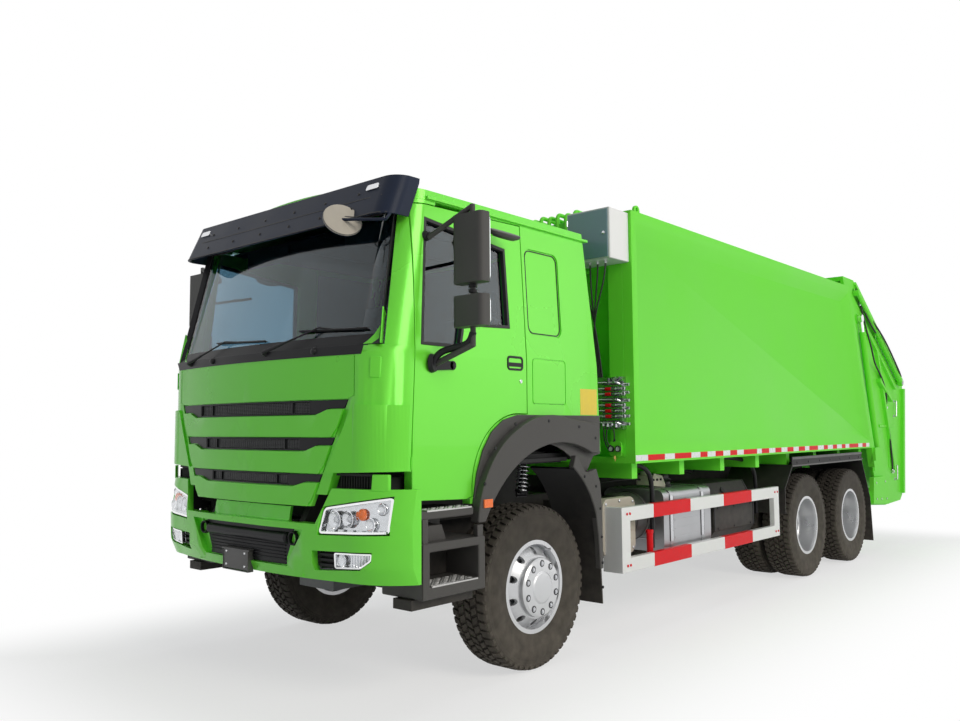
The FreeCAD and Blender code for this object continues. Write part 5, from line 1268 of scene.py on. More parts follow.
@step
class TRUCK_OT_body_front_fittings(Operator):
    """Adds the control box's door, latch and glands, and the hydraulic pipes ahead of the body"""
    bl_idname = "truck.body_front_fittings"
    bl_label = "Body front fittings"

    def execute(self, context):
        lo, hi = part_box("control_box")
        bm = bmesh.new()
        block(bm, (lo.x + 0.012, lo.y - 0.006, lo.z + 0.012), (hi.x - 0.012, lo.y + 0.002, hi.z - 0.012))
        piece("control_door", bm, "chassis", box_blue(), bevel=0.004)
        bm = bmesh.new()
        block(bm, (hi.x - 0.002, lo.y + 0.006, lo.z + 0.004), (hi.x + 0.003, hi.y - 0.004, hi.z - 0.004))
        piece("control_side", bm, "chassis", guard_white(), bevel=0.003)
        bm = bmesh.new()
        for z in (lo.z + 0.07, hi.z - 0.1):
            rod(bm, (lo.x + 0.01, lo.y - 0.008, z), (lo.x + 0.01, lo.y - 0.008, z + 0.045), 0.006, 10)
        x = hi.x - 0.045
        turning(bm, [(0.0, 0.013), (-0.006, 0.013), (-0.008, 0.01), (-0.008, 0.0)],
                Vector((x, lo.y - 0.006, (lo.z + hi.z) / 2)), 20, (0, 1, 0))
        for i in range(4):
            rod(bm, (lo.x + 0.08 + i * 0.07, lo.y + 0.09, lo.z - 0.018),
                (lo.x + 0.08 + i * 0.07, lo.y + 0.09, lo.z + 0.002), 0.012, 6)
        piece("control_fittings", bm, "chassis", bright_steel(), heal=False)
        runs = []
        for i in range(4):
            x = lo.x + 0.08 + i * 0.07
            runs.append([Vector((x, lo.y + 0.09, lo.z)), Vector((x, lo.y + 0.09, lo.z - 0.15)),
                         Vector((0.98 - i * 0.015, lo.y + 0.16, lo.z - 0.4)),
                         Vector((0.98 - i * 0.015, hi.y - 0.05, 2.1)),
                         Vector((1.0 - i * 0.015, hi.y - 0.05, 1.96))])
        pipes("control_cables", runs, 0.007, "chassis", rubber_trim(), order=4)
        # pipes that climb out of the recess and bend back over the roof
        runs = []
        for i in range(6):
            x = 0.3 + i * 0.085
            top = 3.318 + 0.012 * (i % 2)
            runs.append([at(x, 1.215, 1.45), at(x, 1.2, 2.2), at(x, 1.15, 3.0), at(x, 1.11, top - 0.09),
                         at(x, 1.12, top), at(x, 1.19, top), at(x, 1.3, top - 0.005),
                         at(x + 0.02, 1.75, 3.275), at(x + 0.05, 2.6, 3.268)])
        pipes("roof_pipes", runs, 0.017, "chassis", body_paint(), order=3, sides=12)
        runs = []
        for i in range(9):
            x = -0.95 + i * 0.145
            runs.append([at(x, 1.225, 1.42), at(x, 1.215, 2.0 + 0.13 * (i % 4)),
                         at(x + 0.07, 1.215, 2.25 + 0.13 * (i % 4)), at(x + 0.07, 1.225, 3.1)])
        pipes("recess_pipes", runs, 0.013, "chassis", rubber_trim(), order=4, sides=8)
        bm = bmesh.new()
        for z in (1.62, 2.02, 2.42, 2.82):
            block(bm, at(-1.02, 1.19, z), at(0.8, 1.232, z + 0.022))
        piece("pipe_clamps", bm, "chassis", body_paint(), bevel=0.003, heal=False)
        return {"FINISHED"}


# ------------------------------------------------------------ guards, tanks, mudguards
@step
class TRUCK_OT_guard_bands(Operator):
    """Adds the red bands on the side guards and bolts on their posts"""
    bl_idname = "truck.guard_bands"
    bl_label = "Guard bands"

    @on_both_sides
    def execute(side):
        lo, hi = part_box("side_guards")
        rail = 0.105
        bm = bmesh.new()
        for z0, z1 in ((hi.z - rail, hi.z), (lo.z, lo.z + rail)):
            for a, b in ((1.41, 2.015), (2.626, 3.209)):
                block(bm, at(hi.x - 0.0515, a, z0 - 0.0012), at(hi.x + 0.0012, b, z1 + 0.0012))
        piece("guard_bands", bm, "chassis", band_red(), side=side, bevel=0.004, heal=False)
        bm = bmesh.new()
        for y in (1.02, 1.06, 3.74, 3.8):
            for z in (lo.z + 0.05, hi.z - 0.05):
                if lo.y < AXLE_Y + y - 0.02 and AXLE_Y + y + 0.02 < hi.y:
                    rod(bm, at(hi.x, y, z), at(hi.x + 0.006, y, z), 0.01, 6)
        rods(bm, (1.13, 1.505, 0.505, 1.13, 1.505, 0.74, 0.026, 18),
             (1.13, 1.505, 0.74, 1.13, 1.505, 0.765, 0.03, 6))
        piece("guard_fittings", bm, "chassis", band_red(), side=side)


@step
class TRUCK_OT_tank_fittings(Operator):
    """Adds tank straps and cap, valves, the battery cover, hoops and the exhaust box's details"""
    bl_idname = "truck.tank_fittings"
    bl_label = "Tank and box fittings"

    def execute(self, context):
        lo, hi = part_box("fuel_tank")
        # straps over the tank, with rubber below them
        bm = bmesh.new()
        black = bmesh.new()
        for y in (1.86, 2.4):
            for surface_bm, half, proud in ((black, 0.034, 0.003), (bm, 0.022, 0.006)):
                x1, z1 = hi.x + proud - 0.005, hi.z + proud - 0.005
                plate(surface_bm, [at(0.62, y - half, z1), at(x1 - 0.058, y - half, z1),
                                   at(x1 - 0.018, y - half, z1 - 0.018), at(x1, y - half, z1 - 0.058),
                                   at(x1, y - half, 0.64), at(x1 - 0.006, y - half, 0.64),
                                   at(x1 - 0.006, y - half, z1 - 0.06),
                                   at(x1 - 0.022, y - half, z1 - 0.022),
                                   at(x1 - 0.06, y - half, z1 - 0.006), at(0.62, y - half, z1 - 0.006)],
                      (0, half * 2, 0))
        piece("tank_straps", bm, "chassis", bright_steel(), bevel=0.0015)
        rods(black, (0.92, 2.13, hi.z - 0.004, 0.92, 2.13, hi.z + 0.014, 0.06, 28),
             (0.92, 2.13, hi.z + 0.014, 0.92, 2.13, hi.z + 0.04, 0.052, 12, 0.048))
        piece("tank_cap", black, "chassis", black_trim(), bevel=0.002)
        bm = bmesh.new()
        for y in (lo.y - AXLE_Y, hi.y - AXLE_Y):
            for z in (0.66, 0.95):
                rod(bm, at(0.62, y, z), at(1.06, y, z), 0.006, 8)
        for i in range(5):
            z = 0.66 + i * 0.07
            block(bm, at(1.1285, 1.915, z), at(1.1325, 2.345, z + 0.012))
        piece("tank_ribs", bm, "chassis", tank_alloy(), heal=False)
        # air valves on top, in bleached alloy, with dark ends
        bm = bmesh.new()
        black = bmesh.new()
        block(bm, at(0.8, 1.86, 1.085), at(0.93, 2.02, 1.165))
        rods(bm, (0.86, 1.9, 1.165, 0.86, 1.9, 1.2, 0.036, 18),
             (0.88, 2.02, 1.125, 0.88, 2.12, 1.125, 0.03, 16))
        bracket = ((1.86, 1.08), (2.1, 1.06), (2.04, 1.16), (1.9, 1.185))
        plate(bm, upright(0.94, bracket), (0.014, 0, 0))
        rods(black, (0.88, 2.12, 1.14, 0.88, 2.2, 1.14, 0.042, 20),
             (0.8, 1.8, 1.17, 0.8, 1.86, 1.15, 0.026, 14))
        for y in (1.88, 1.94, 2.0):
            rod(black, at(0.935, y, 1.13), at(0.965, y, 1.13), 0.011, 6)
        piece("air_valves", bm, "chassis", bleached(), bevel=0.004)
        piece("air_valve_ends", black, "chassis", black_trim(), bevel=0.002)
        # hoops and hoses beside the body floor
        runs = [[at(1.05, 1.22, 1.29), at(1.1, 1.34, 1.288), at(1.13, 1.46, 1.262),
                 at(1.13, 1.555, 1.17), at(1.13, 1.56, 1.02), at(1.13, 1.545, 0.62)],
                [at(0.95, 3.05, 1.285), at(1.0, 3.35, 1.275), at(1.05, 3.55, 1.24),
                 at(1.06, 3.665, 1.14), at(1.06, 3.68, 1.0), at(1.06, 3.67, 0.72)]]
        pipes("hoops", runs, 0.019, "chassis", black_trim(), order=4, sides=12)
        runs = [[at(0.6, 1.3, 1.1), at(0.75, 1.5, 1.13), at(0.84, 1.72, 1.15), at(0.84, 1.86, 1.13)],
                [at(0.88, 2.16, 1.15), at(0.86, 2.4, 1.2), at(0.78, 2.8, 1.17), at(0.62, 3.2, 1.12)],
                [at(0.88, 2.16, 1.13), at(0.92, 2.3, 1.12), at(0.8, 2.5, 1.09), at(0.6, 2.62, 1.08)],
                [at(0.5, 1.1, 1.2), at(0.7, 1.6, 1.235), at(0.72, 2.6, 1.235), at(0.7, 3.9, 1.235)],
                [at(0.52, 1.1, 1.16), at(0.76, 1.6, 1.225), at(0.78, 2.6, 1.225), at(0.75, 3.9, 1.215)]]
        pipes("air_hoses", runs, 0.008, "chassis", rubber_trim(), order=4)
        # dark drum between the batteries and the tank
        bm = bmesh.new()
        profile = [(-0.165, 0.0), (-0.16, 0.15), (-0.14, 0.185), (-0.115, 0.196), (0.115, 0.196),
                   (0.14, 0.185), (0.16, 0.15), (0.165, 0.0)]
        turning(bm, profile, at(0.845, 1.555, 0.845), 40, (0, 1, 0))
        for y in (1.475, 1.635):
            ring_round(bm, at(0.845, y, 0.845), (0, 1, 0), 0.197, 0.005, 40, 6)
        piece("air_drum", bm, "chassis", satin_grey())
        # ribbed pale cover over the batteries
        bm = bmesh.new()
        round_plate(bm, upright(1.0, rect(0.925, 0.6, 1.385, 1.035)), 0.075, 6, (0.075, 0, 0))
        for i in range(5):
            z = 0.68 + i * 0.065
            block(bm, at(1.072, 0.975, z), at(1.082, 1.335, z + 0.03))
        piece("battery_cover", bm, "chassis", bleached(), bevel=0.01, segments=3)
        bm = bmesh.new()
        for y, z in ((0.965, 0.64), (1.345, 0.64), (0.965, 0.995), (1.345, 0.995), (1.155, 1.01)):
            turning(bm, [(0.0, 0.012), (0.004, 0.012), (0.006, 0.008), (0.006, 0.0)], at(1.076, y, z),
                    12)
        blocks(bm, (1.05, 0.86, 0.93, 1.065, 0.905, 1.075), (0.9, 0.86, 1.06, 1.065, 0.905, 1.075))
        piece("battery_fittings", bm, "chassis", bright_steel(), heal=False)
        # diamond opening of the exhaust box, shown as a recessed black plate of painted shade, and the
        # box's seams
        bm = bmesh.new()
        slope = Vector((-0.11, 0, 0.2)).normalized()
        centre = at(1.062, 2.95, 0.985)
        along = Vector((0, 0.036, 0))
        up = slope * 0.036
        out = Vector((slope.z, 0, -slope.x)) * 0.0025
        plate(bm, [centre - along + out, centre - up + out, centre + along + out, centre + up + out],
              -out * 2.4)
        piece("exhaust_diamond_shade", bm, "chassis", deep_black())
        bm = bmesh.new()
        for y in (2.655, 3.465):
            plate(bm, [at(1.0125, y - 0.009, 1.0625), at(1.1235, y - 0.009, 0.862),
                       at(1.1235, y - 0.009, 0.64), at(1.119, y - 0.009, 0.64),
                       at(1.119, y - 0.009, 0.86), at(1.009, y - 0.009, 1.059)], (0, 0.018, 0))
        for y in (2.72, 3.05, 3.4):
            for z in (0.66, 0.84):
                rod(bm, at(1.119, y, z), at(1.125, y, z), 0.009, 6)
        piece("exhaust_seams", bm, "chassis", black_trim(), heal=False)
        return {"FINISHED"}


# (out of the face, radius) of a bolt's head
BOLT = [(0.0, 0.011), (0.004, 0.01), (0.006, 0.006), (0.006, 0.0)]


@step
class TRUCK_OT_mudguard_fittings(Operator):
    """Adds the grey edges of the mudguards, their bolts and the flaps' clamps"""
    bl_idname = "truck.mudguard_fittings"
    bl_label = "Mudguard fittings"

    @on_both_sides
    def execute(side):
        bm = bmesh.new()
        edge = [(0.352, 1.386), (0.462, 1.268), (0.5, 1.262), (0.598, 1.284), (0.646, 1.18),
                (0.664, 1.0), (0.668, 0.578), (0.632, 0.578), (0.616, 0.8), (0.585, 0.985),
                (0.52, 1.108), (0.44, 1.205), (0.352, 1.28), (0.318, 1.304)]
        plate(bm, upright(1.2, edge), (0.0445, 0, 0))
        piece("arch_edge", bm, "chassis", plastic(), side=side, bevel=0.006)
        bm = bmesh.new()
        for y, z in ((0.655, 0.45), (0.655, 0.62), (0.652, 0.8), (0.638, 1.0), (0.59, 1.16),
                     (0.45, 1.235)):
            turning(bm, BOLT, at(1.244, y, z), 12)
        for y in (4.3, 4.62, 4.94, 5.26, 5.58, 5.9, 6.22):
            turning(bm, BOLT, at(1.2395, y, 1.2), 12)
        piece("mudguard_bolts", bm, "chassis", black_trim(), side=side)
        bm = bmesh.new()
        blocks(bm, (0.6, 6.335, 1.168, 1.238, 6.375, 1.182), (1.225, 4.175, 1.16, 1.2435, 6.32, 1.176),
               (1.225, 4.175, 1.232, 1.2435, 6.32, 1.258))
        piece("shelf_edge", bm, "chassis", satin_grey(), side=side, bevel=0.003, heal=False)


# ------------------------------------------------------------ wheel arches
# the dark panel round the flare, in (y from the front axle, z): it follows the door's cut
ARCH_DOOR = ((-0.652, 1.02), (-0.636, 1.15), (-0.606, 1.3), (-0.548, 1.44), (-0.464, 1.552),
             (-0.352, 1.626), (-0.205, 1.66))
ARCH_BACK = ((0.742, 1.66), (0.742, 1.385), (0.653, 1.37))
ARCH_R, ARCH_Z = 0.56, 0.96


def arch_points(radius, first, last, count):
    """Points (y, z) on the round lip over the wheel, by angle from straight ahead."""
    points = []
    for i in range(count + 1):
        a = math.radians(first + (last - first) * i / count)
        points.append((0.02 - radius * math.cos(a) * 1.05, ARCH_Z + radius * math.sin(a) * 0.92))
    return points


@step
class TRUCK_OT_arch_fittings(Operator):
    """Adds the raised lips and panels of the front arches, their linings and the dampers"""
    bl_idname = "truck.arch_fittings"
    bl_label = "Front arches"

    @on_both_sides
    def execute(side):
        bm = bmesh.new()
        inner = arch_points(ARCH_R, 150, 20, 16)
        plate(bm, upright(1.1705, (*ARCH_DOOR, *ARCH_BACK, *inner)), (0.012, 0, 0))
        piece("arch_panel", bm, "cab", plastic(), side=side, bevel=0.002)
        # padded roof and wall of the arch, in ribbed black
        bm = bmesh.new()
        plate(bm, upright(0.56, rect(-0.62, 1.345, 0.36, 1.372)), (0.6, 0, 0))
        block(bm, at(0.56, -0.62, 0.95), at(0.572, 0.62, 1.372))
        for i in range(8):
            x = 0.6 + i * 0.072
            block(bm, at(x, -0.6, 1.336), at(x + 0.012, 0.35, 1.348))
        for i in range(4):
            z = 1.17 + i * 0.045
            block(bm, at(0.57, -0.6, z), at(0.58, 0.38, z + 0.012))
        piece("arch_lining", bm, "chassis", chassis_black(), side=side, bevel=0.003,
              heal=False)
        # damper with its coil, in front of the axle
        top, foot = at(0.85, 0.27, 1.345), at(0.85, 0.235, 1.11)
        bm = bmesh.new()
        rod(bm, top, top.lerp(foot, 0.62), 0.019, 16)
        rod(bm, top.lerp(foot, 0.5), foot, 0.027, 16)
        rod(bm, foot + Vector((-0.02, -0.03, 0)), foot + Vector((0.02, 0.03, 0)), 0.022, 14)
        for t in (0.04, 0.9):
            spot = top.lerp(foot, t)
            rod(bm, spot, spot + (foot - top).normalized() * 0.012, 0.05, 20)
        piece("damper", bm, "chassis", black_trim(), side=side, heal=False)
        coil = []
        turns, steps = 7, 10
        for i in range(turns * steps + 1):
            a = math.tau * i / steps
            spot = top.lerp(foot, 0.07 + 0.82 * i / (turns * steps))
            coil.append(Vector((SIGN[side] * (spot.x + 0.04 * math.cos(a)), spot.y + 0.04 * math.sin(a),
                                spot.z)))
        pipes("damper_coil_" + side, [coil], 0.0065, "chassis", bright_steel(), order=3,
              sides=8)


# ------------------------------------------------------------ chassis below
@step
class TRUCK_OT_chassis_fittings(Operator):
    """Adds brake chambers, propeller shafts, rivets and lines along the frame"""
    bl_idname = "truck.chassis_fittings"
    bl_label = "Chassis fittings"

    def execute(self, context):
        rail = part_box("frame_rails")
        rear = [middle(name + "_left").y for name in ("rear_rims_1", "rear_rims_2")]
        for side in SIDES:
            bm = bmesh.new()
            y = rail[0].y + 0.35
            while y < rail[1].y - 0.2:
                for z in (rail[0].z + 0.05, rail[1].z - 0.05):
                    turning(bm, [(0.0, 0.014), (0.006, 0.013), (0.01, 0.008), (0.01, 0.0)],
                            Vector((rail[1].x, y, z)), 8)
                y += 0.3
            piece("rail_rivets", bm, "chassis", black_trim(), side=side)
            bm = bmesh.new()
            for y in rear:
                for s in (-1, 1):
                    start = Vector((0.46, y + s * 0.17, 0.6))
                    rod(bm, start, start + Vector((0.0, s * 0.11, 0.03)), 0.062, 24)
                    rod(bm, start + Vector((0.0, s * 0.11, 0.03)),
                        start + Vector((0.0, s * 0.13, 0.035)), 0.068, 24, 0.06)
                    rod(bm, start + Vector((0.0, s * 0.13, 0.035)),
                        start + Vector((0.0, s * 0.2, 0.05)), 0.06, 24, 0.04)
            piece("brake_chambers", bm, "chassis", satin_grey(), side=side)
        bm = bmesh.new()
        shaft = [(-0.3, 0.0), (-0.3, 0.045), (0.3, 0.045), (0.3, 0.0)]
        turning(bm, shaft, at(0, 1.6, 0.7), 24, (0, 1, -0.05))
        rods(bm, (0, 1.05, 0.72, 0, 3.4, 0.6, 0.045, 24), (0, 3.4, 0.6, 0, 4.6, 0.56, 0.05, 24))
        for y, z in ((1.05, 0.72), (3.38, 0.6), (3.46, 0.6), (4.58, 0.56)):
            rods(bm, (-0.075, y, z, 0.075, y, z, 0.024, 14),
                 (0, y, z - 0.075, 0, y, z + 0.075, 0.024, 14),
                 (0, y - 0.03, z, 0, y + 0.03, z, 0.078, 24))
        piece("propeller_shafts", bm, "chassis", satin_grey(), heal=False)
        runs = []
        for i in range(4):
            z = 0.86 + i * 0.026
            runs.append([at(0.345, -0.6, z), at(0.345, 1.5, z), at(0.345, 3.4, z), at(0.345, 6.3, z)])
            runs.append([at(-0.345, -0.6, z), at(-0.345, 1.5, z), at(-0.345, 3.4, z),
                         at(-0.345, 6.3, z)])
        pipes("frame_lines", runs, 0.007, "chassis", rubber_trim())
        return {"FINISHED"}


# ------------------------------------------------------------ tailgate
@step
class TRUCK_OT_gate_fittings(Operator):
    """Adds the tailgate's hoses, unions, locking bolts, pin caps, handles and lamps"""
    bl_idname = "truck.gate_fittings"
    bl_label = "Tailgate fittings"

    def execute(self, context):
        ram_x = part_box("slide_cylinders")[1].x - 0.036
        wall = 1.188
        for side in SIDES:
            runs = [[(0.9, 6.33, 3.345), (1.0, 6.36, 3.372), (1.1, 6.42, 3.372), (1.195, 6.5, 3.3),
                     (1.205, 6.62, 3.13), (1.222, 6.78, 2.96), (1.246, 6.9, 2.83), (1.25, 7.05, 2.76)],
                    [(0.84, 6.33, 3.345), (0.96, 6.4, 3.375), (1.12, 6.47, 3.36), (1.205, 6.57, 3.25),
                     (1.212, 6.75, 3.02), (1.268, 7.0, 2.86), (1.29, 7.3, 2.67), (1.29, 7.6, 2.47),
                     (1.284, 7.9, 2.28), (1.262, 8.02, 2.24)],
                    [(1.205, 6.62, 3.1), (1.216, 6.68, 2.94), (1.25, 6.66, 2.78), (1.284, 6.68, 2.62),
                     (1.284, 6.78, 2.46), (1.24, 6.98, 2.36), (1.225, 7.18, 2.28), (1.225, 7.42, 2.1),
                     (1.225, 7.5, 1.92), (1.205, 7.49, 1.82)],
                    [(1.205, 7.49, 1.8), (1.222, 7.52, 1.6), (1.222, 7.62, 1.2), (1.205, 7.66, 0.98)], ]
            spots = [[at(SIGN[side] * x, y, z) for x, y, z in run] for run in runs]
            pipes("gate_hoses_" + side, spots, 0.0105, "tailgate", rubber_trim(),
                  order=4, sides=8)
            bm = bmesh.new()
            for x, y, z in ((wall + 0.014, 6.62, 3.1), (wall + 0.016, 7.49, 1.81),
                            (wall + 0.016, 7.66, 0.97)):
                rods(bm, (x - 0.02, y, z, x + 0.022, y, z, 0.02, 6),
                     (x, y, z - 0.026, x, y, z + 0.026, 0.014, 12))
            piece("gate_unions", bm, "tailgate", bright_steel(), side=side, bevel=0.0015,
                  heal=False)
            # pin caps with their keeper plates and bolts
            bm = bmesh.new()
            rods(bm, (ram_x + 0.026, 8.08, 2.163, ram_x + 0.034, 8.08, 2.163, 0.0368, 24),
                 (ram_x + 0.034, 8.08, 2.163, ram_x + 0.04, 8.08, 2.163, 0.016, 6))
            for y, z in ((6.84, 0.66), (7.02, 0.65), (7.24, 0.64), (6.84, 0.86), (7.2, 0.86)):
                rod(bm, at(1.24, y, z), at(1.247, y, z), 0.013, 6)
            piece("gate_pins", bm, "tailgate", bright_steel(), side=side)
            # locking bolt at the foot of the seam, with its washer and lever
            bm = bmesh.new()
            rods(bm, (wall - 0.002, 6.8, 1.33, wall + 0.012, 6.8, 1.33, 0.052, 28),
                 (wall + 0.012, 6.8, 1.33, wall + 0.032, 6.8, 1.33, 0.034, 6),
                 (wall + 0.03, 6.8, 1.33, wall + 0.05, 6.8, 1.33, 0.02, 16),
                 (wall + 0.04, 6.8, 1.33, wall + 0.036, 6.775, 1.235, 0.009, 10))
            ring_round(bm, at(wall + 0.034, 6.772, 1.222), (1, 0, 0), 0.016, 0.005, 18, 8)
            piece("gate_lock", bm, "tailgate", bright_steel(), side=side, heal=False)
            # grab handles, and ribs on the side wall with their bolts
            bm = bmesh.new()
            for y0, z0, y1, z1 in ((7.87, 1.7, 7.9, 1.9), (7.8, 0.86, 7.82, 1.04)):
                rod(bm, at(wall + 0.034, y0, z0), at(wall + 0.034, y1, z1), 0.009, 12)
                for y, z in ((y0, z0), (y1, z1)):
                    rods(bm, (wall - 0.002, y, z, wall + 0.034, y, z, 0.009, 12),
                         (wall, y, z, wall + 0.004, y, z, 0.02, 14))
            piece("gate_handles", bm, "tailgate", bright_steel(), side=side, heal=False)
            bm = bmesh.new()
            blocks(bm, (wall - 0.001, 7.56, 1.02, wall + 0.01, 7.6, 1.52),
                   (wall - 0.001, 7.22, 1.55, wall + 0.012, 7.84, 1.585),
                   (wall - 0.001, 6.94, 1.0, wall + 0.01, 6.96, 2.3))
            rail = ((7.2, 2.18), (7.66, 1.92), (7.66, 1.89), (7.2, 2.13))
            plate(bm, upright(wall - 0.001, rail), (0.055, 0, 0))
            for i in range(5):
                z = 1.08 + i * 0.09
                rod(bm, at(wall, 7.58, z), at(wall + 0.014, 7.58, z), 0.007, 6)
            piece("gate_ribs", bm, "tailgate", body_paint(), side=side, bevel=0.003, heal=False)
            # rear lamps in a guarded frame
            y = 8.128
            bm = bmesh.new()
            blocks(bm, (0.86, y - 0.012, 0.7, 1.12, y + 0.03, 0.712),
                   (0.86, y - 0.012, 0.828, 1.12, y + 0.03, 0.84))
            for x in (0.86, 0.985, 1.108):
                block(bm, at(x, y - 0.012, 0.706), at(x + 0.012, y + 0.03, 0.834))
            block(bm, at(0.862, y - 0.014, 0.704), at(1.118, y - 0.006, 0.836))
            piece("rear_lamp_frames", bm, "tailgate", black_trim(), side=side, bevel=0.003,
                  heal=False)
            for kind, surface, x0, x1 in (("red", red_lens(), 1.0, 1.104),
                                          ("amber", amber(), 0.876, 0.98)):
                bm = bmesh.new()
                block(bm, at(x0, y - 0.006, 0.716), at(x1, y + 0.016, 0.824))
                for i in range(6):
                    z = 0.722 + i * 0.017
                    block(bm, at(x0 + 0.006, y + 0.015, z), at(x1 - 0.006, y + 0.019, z + 0.01))
                piece("rear_lamp_" + kind, bm, "tailgate", surface, side=side, bevel=0.003,
                      heal=False)
        # work lamp under the top edge of the cover
        bm = bmesh.new()
        turning(bm, [(-0.03, 0.0), (-0.028, 0.03), (-0.01, 0.046), (0.014, 0.05), (0.018, 0.046),
                     (0.012, 0.04), (0.01, 0.0)], at(0.0, 8.12, 2.225), 28, (0, 0.6, -0.8))
        piece("work_lamp", bm, "tailgate", black_trim())
        # ends of the roof beam: two hoses from the body that stop at the hinge line
        runs = []
        for x in (-0.62, -0.5, 0.5, 0.62):
            runs.append([at(x, 5.4, 3.266), at(x, 5.8, 3.29), at(x * 1.12, 6.02, 3.33),
                         at(x * 1.3, 6.04, 3.335)])
        pipes("roof_hoses", runs, 0.011, "chassis", rubber_trim(), order=4, sides=8)
        return {"FINISHED"}


# ------------------------------------------------------------ cabin
SEAT_X = 0.56


def cushion(name, lo, hi, crown, channels, along="Y"):
    """A padded seat piece: crowned faces, pulled-in corners and sewn channels."""
    lo, hi = Vector(lo), Vector(hi)
    centre, half = (lo + hi) / 2, (hi - lo) / 2
    bm = bmesh.new()
    bmesh.ops.create_cube(bm, size=2.0)
    bmesh.ops.subdivide_edges(bm, edges=bm.edges[:], cuts=11, use_grid_fill=True)
    deep = 1 if along == "Z" else 2
    wide = 0
    long = 3 - deep
    for v in bm.verts:
        u, w, t = v.co[wide], v.co[long], v.co[deep]
        pull = 1.0 - 0.035 * u * u * w * w
        edge = (1.0 - u ** 4) * (1.0 - w ** 4)
        groove = 0.0
        if abs(t) > 0.9:
            for k in range(1, channels):
                place = -1.0 + 2.0 * k / channels
                groove = max(groove, math.exp(-((w - place) / 0.07) ** 2))
        thick = 0.8 + 0.2 * edge - 0.1 * groove * (1.0 - abs(u) ** 6)
        side_swell = 0.965 + 0.035 * (1.0 - t * t)
        spot = [0.0, 0.0, 0.0]
        spot[wide] = u * pull * side_swell
        spot[long] = w * pull * side_swell
        spot[deep] = t * thick * (1.0 - crown * (1.0 - edge))
        v.co = Vector(tuple(c + h * s for c, h, s in zip(centre, half, spot)))
    made = piece(name, bm, "cab", seat_cloth(), smooth=180.0)
    soft = made.modifiers.new("soft", "SUBSURF")
    soft.levels = soft.render_levels = 1
    return made


@step
class TRUCK_OT_seats(Operator):
    """Makes the two seats and the bunk: hard bases and crowned cushions with piping"""
    bl_idname = "truck.seats"
    bl_label = "Seats and bunk"

    def execute(self, context):
        bases = bmesh.new()
        for i, x in enumerate((-SEAT_X, SEAT_X)):
            block(bases, at(x - 0.195, -0.425, 1.402), at(x + 0.195, -0.005, 1.716))
            for k in range(5):
                z = 1.44 + k * 0.05
                block(bases, at(x - 0.199, -0.38, z), at(x + 0.199, -0.05, z + 0.02))
            cushion("seat_cushion_%d" % (i + 1), at(x - 0.248, -0.498, 1.722),
                    at(x + 0.248, 0.018, 1.848), 0.1, 4)
            cushion("seat_wing_%d" % (i + 1), at(x - 0.238, -0.036, 1.85), at(x + 0.238, 0.086, 2.366),
                    0.1, 5, along="Z")
            cushion("headrest_%d" % (i + 1), at(x - 0.138, 0.1, 2.394), at(x + 0.138, 0.176, 2.56),
                    0.12, 2, along="Z")
            rods(bases, (x - 0.05, 0.12, 2.33, x - 0.05, 0.135, 2.42, 0.007, 10),
                 (x + 0.05, 0.12, 2.33, x + 0.05, 0.135, 2.42, 0.007, 10))
            block(bases, at(x - 0.225, 0.088, 1.79), at(x + 0.225, 0.104, 2.34))
            rod(bases, at(x - 0.235, -0.01, 1.8), at(x + 0.235, -0.01, 1.8), 0.024, 14)
        blocks(bases, (-0.895, 0.325, 1.402, 0.895, 0.595, 1.776),
               (-1.075, 0.262, 1.78, 1.075, 0.618, 1.8))
        made = piece("seat_bases", bases, "cab", cabin_trim(), bevel=0.008, heal=False)
        cushion("bunk_mattress", at(-1.07, 0.266, 1.802), at(1.07, 0.614, 1.898), 0.08, 1)
        runs = []
        for x in (-SEAT_X, SEAT_X):
            for z in (1.73, 1.84):
                runs.append([at(x - 0.235, -0.485, z), at(x, -0.496, z), at(x + 0.235, -0.485, z)])
        pipes("seat_piping", runs, 0.004, "cab", seat_piping())
        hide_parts("seats")
        return {"FINISHED"}


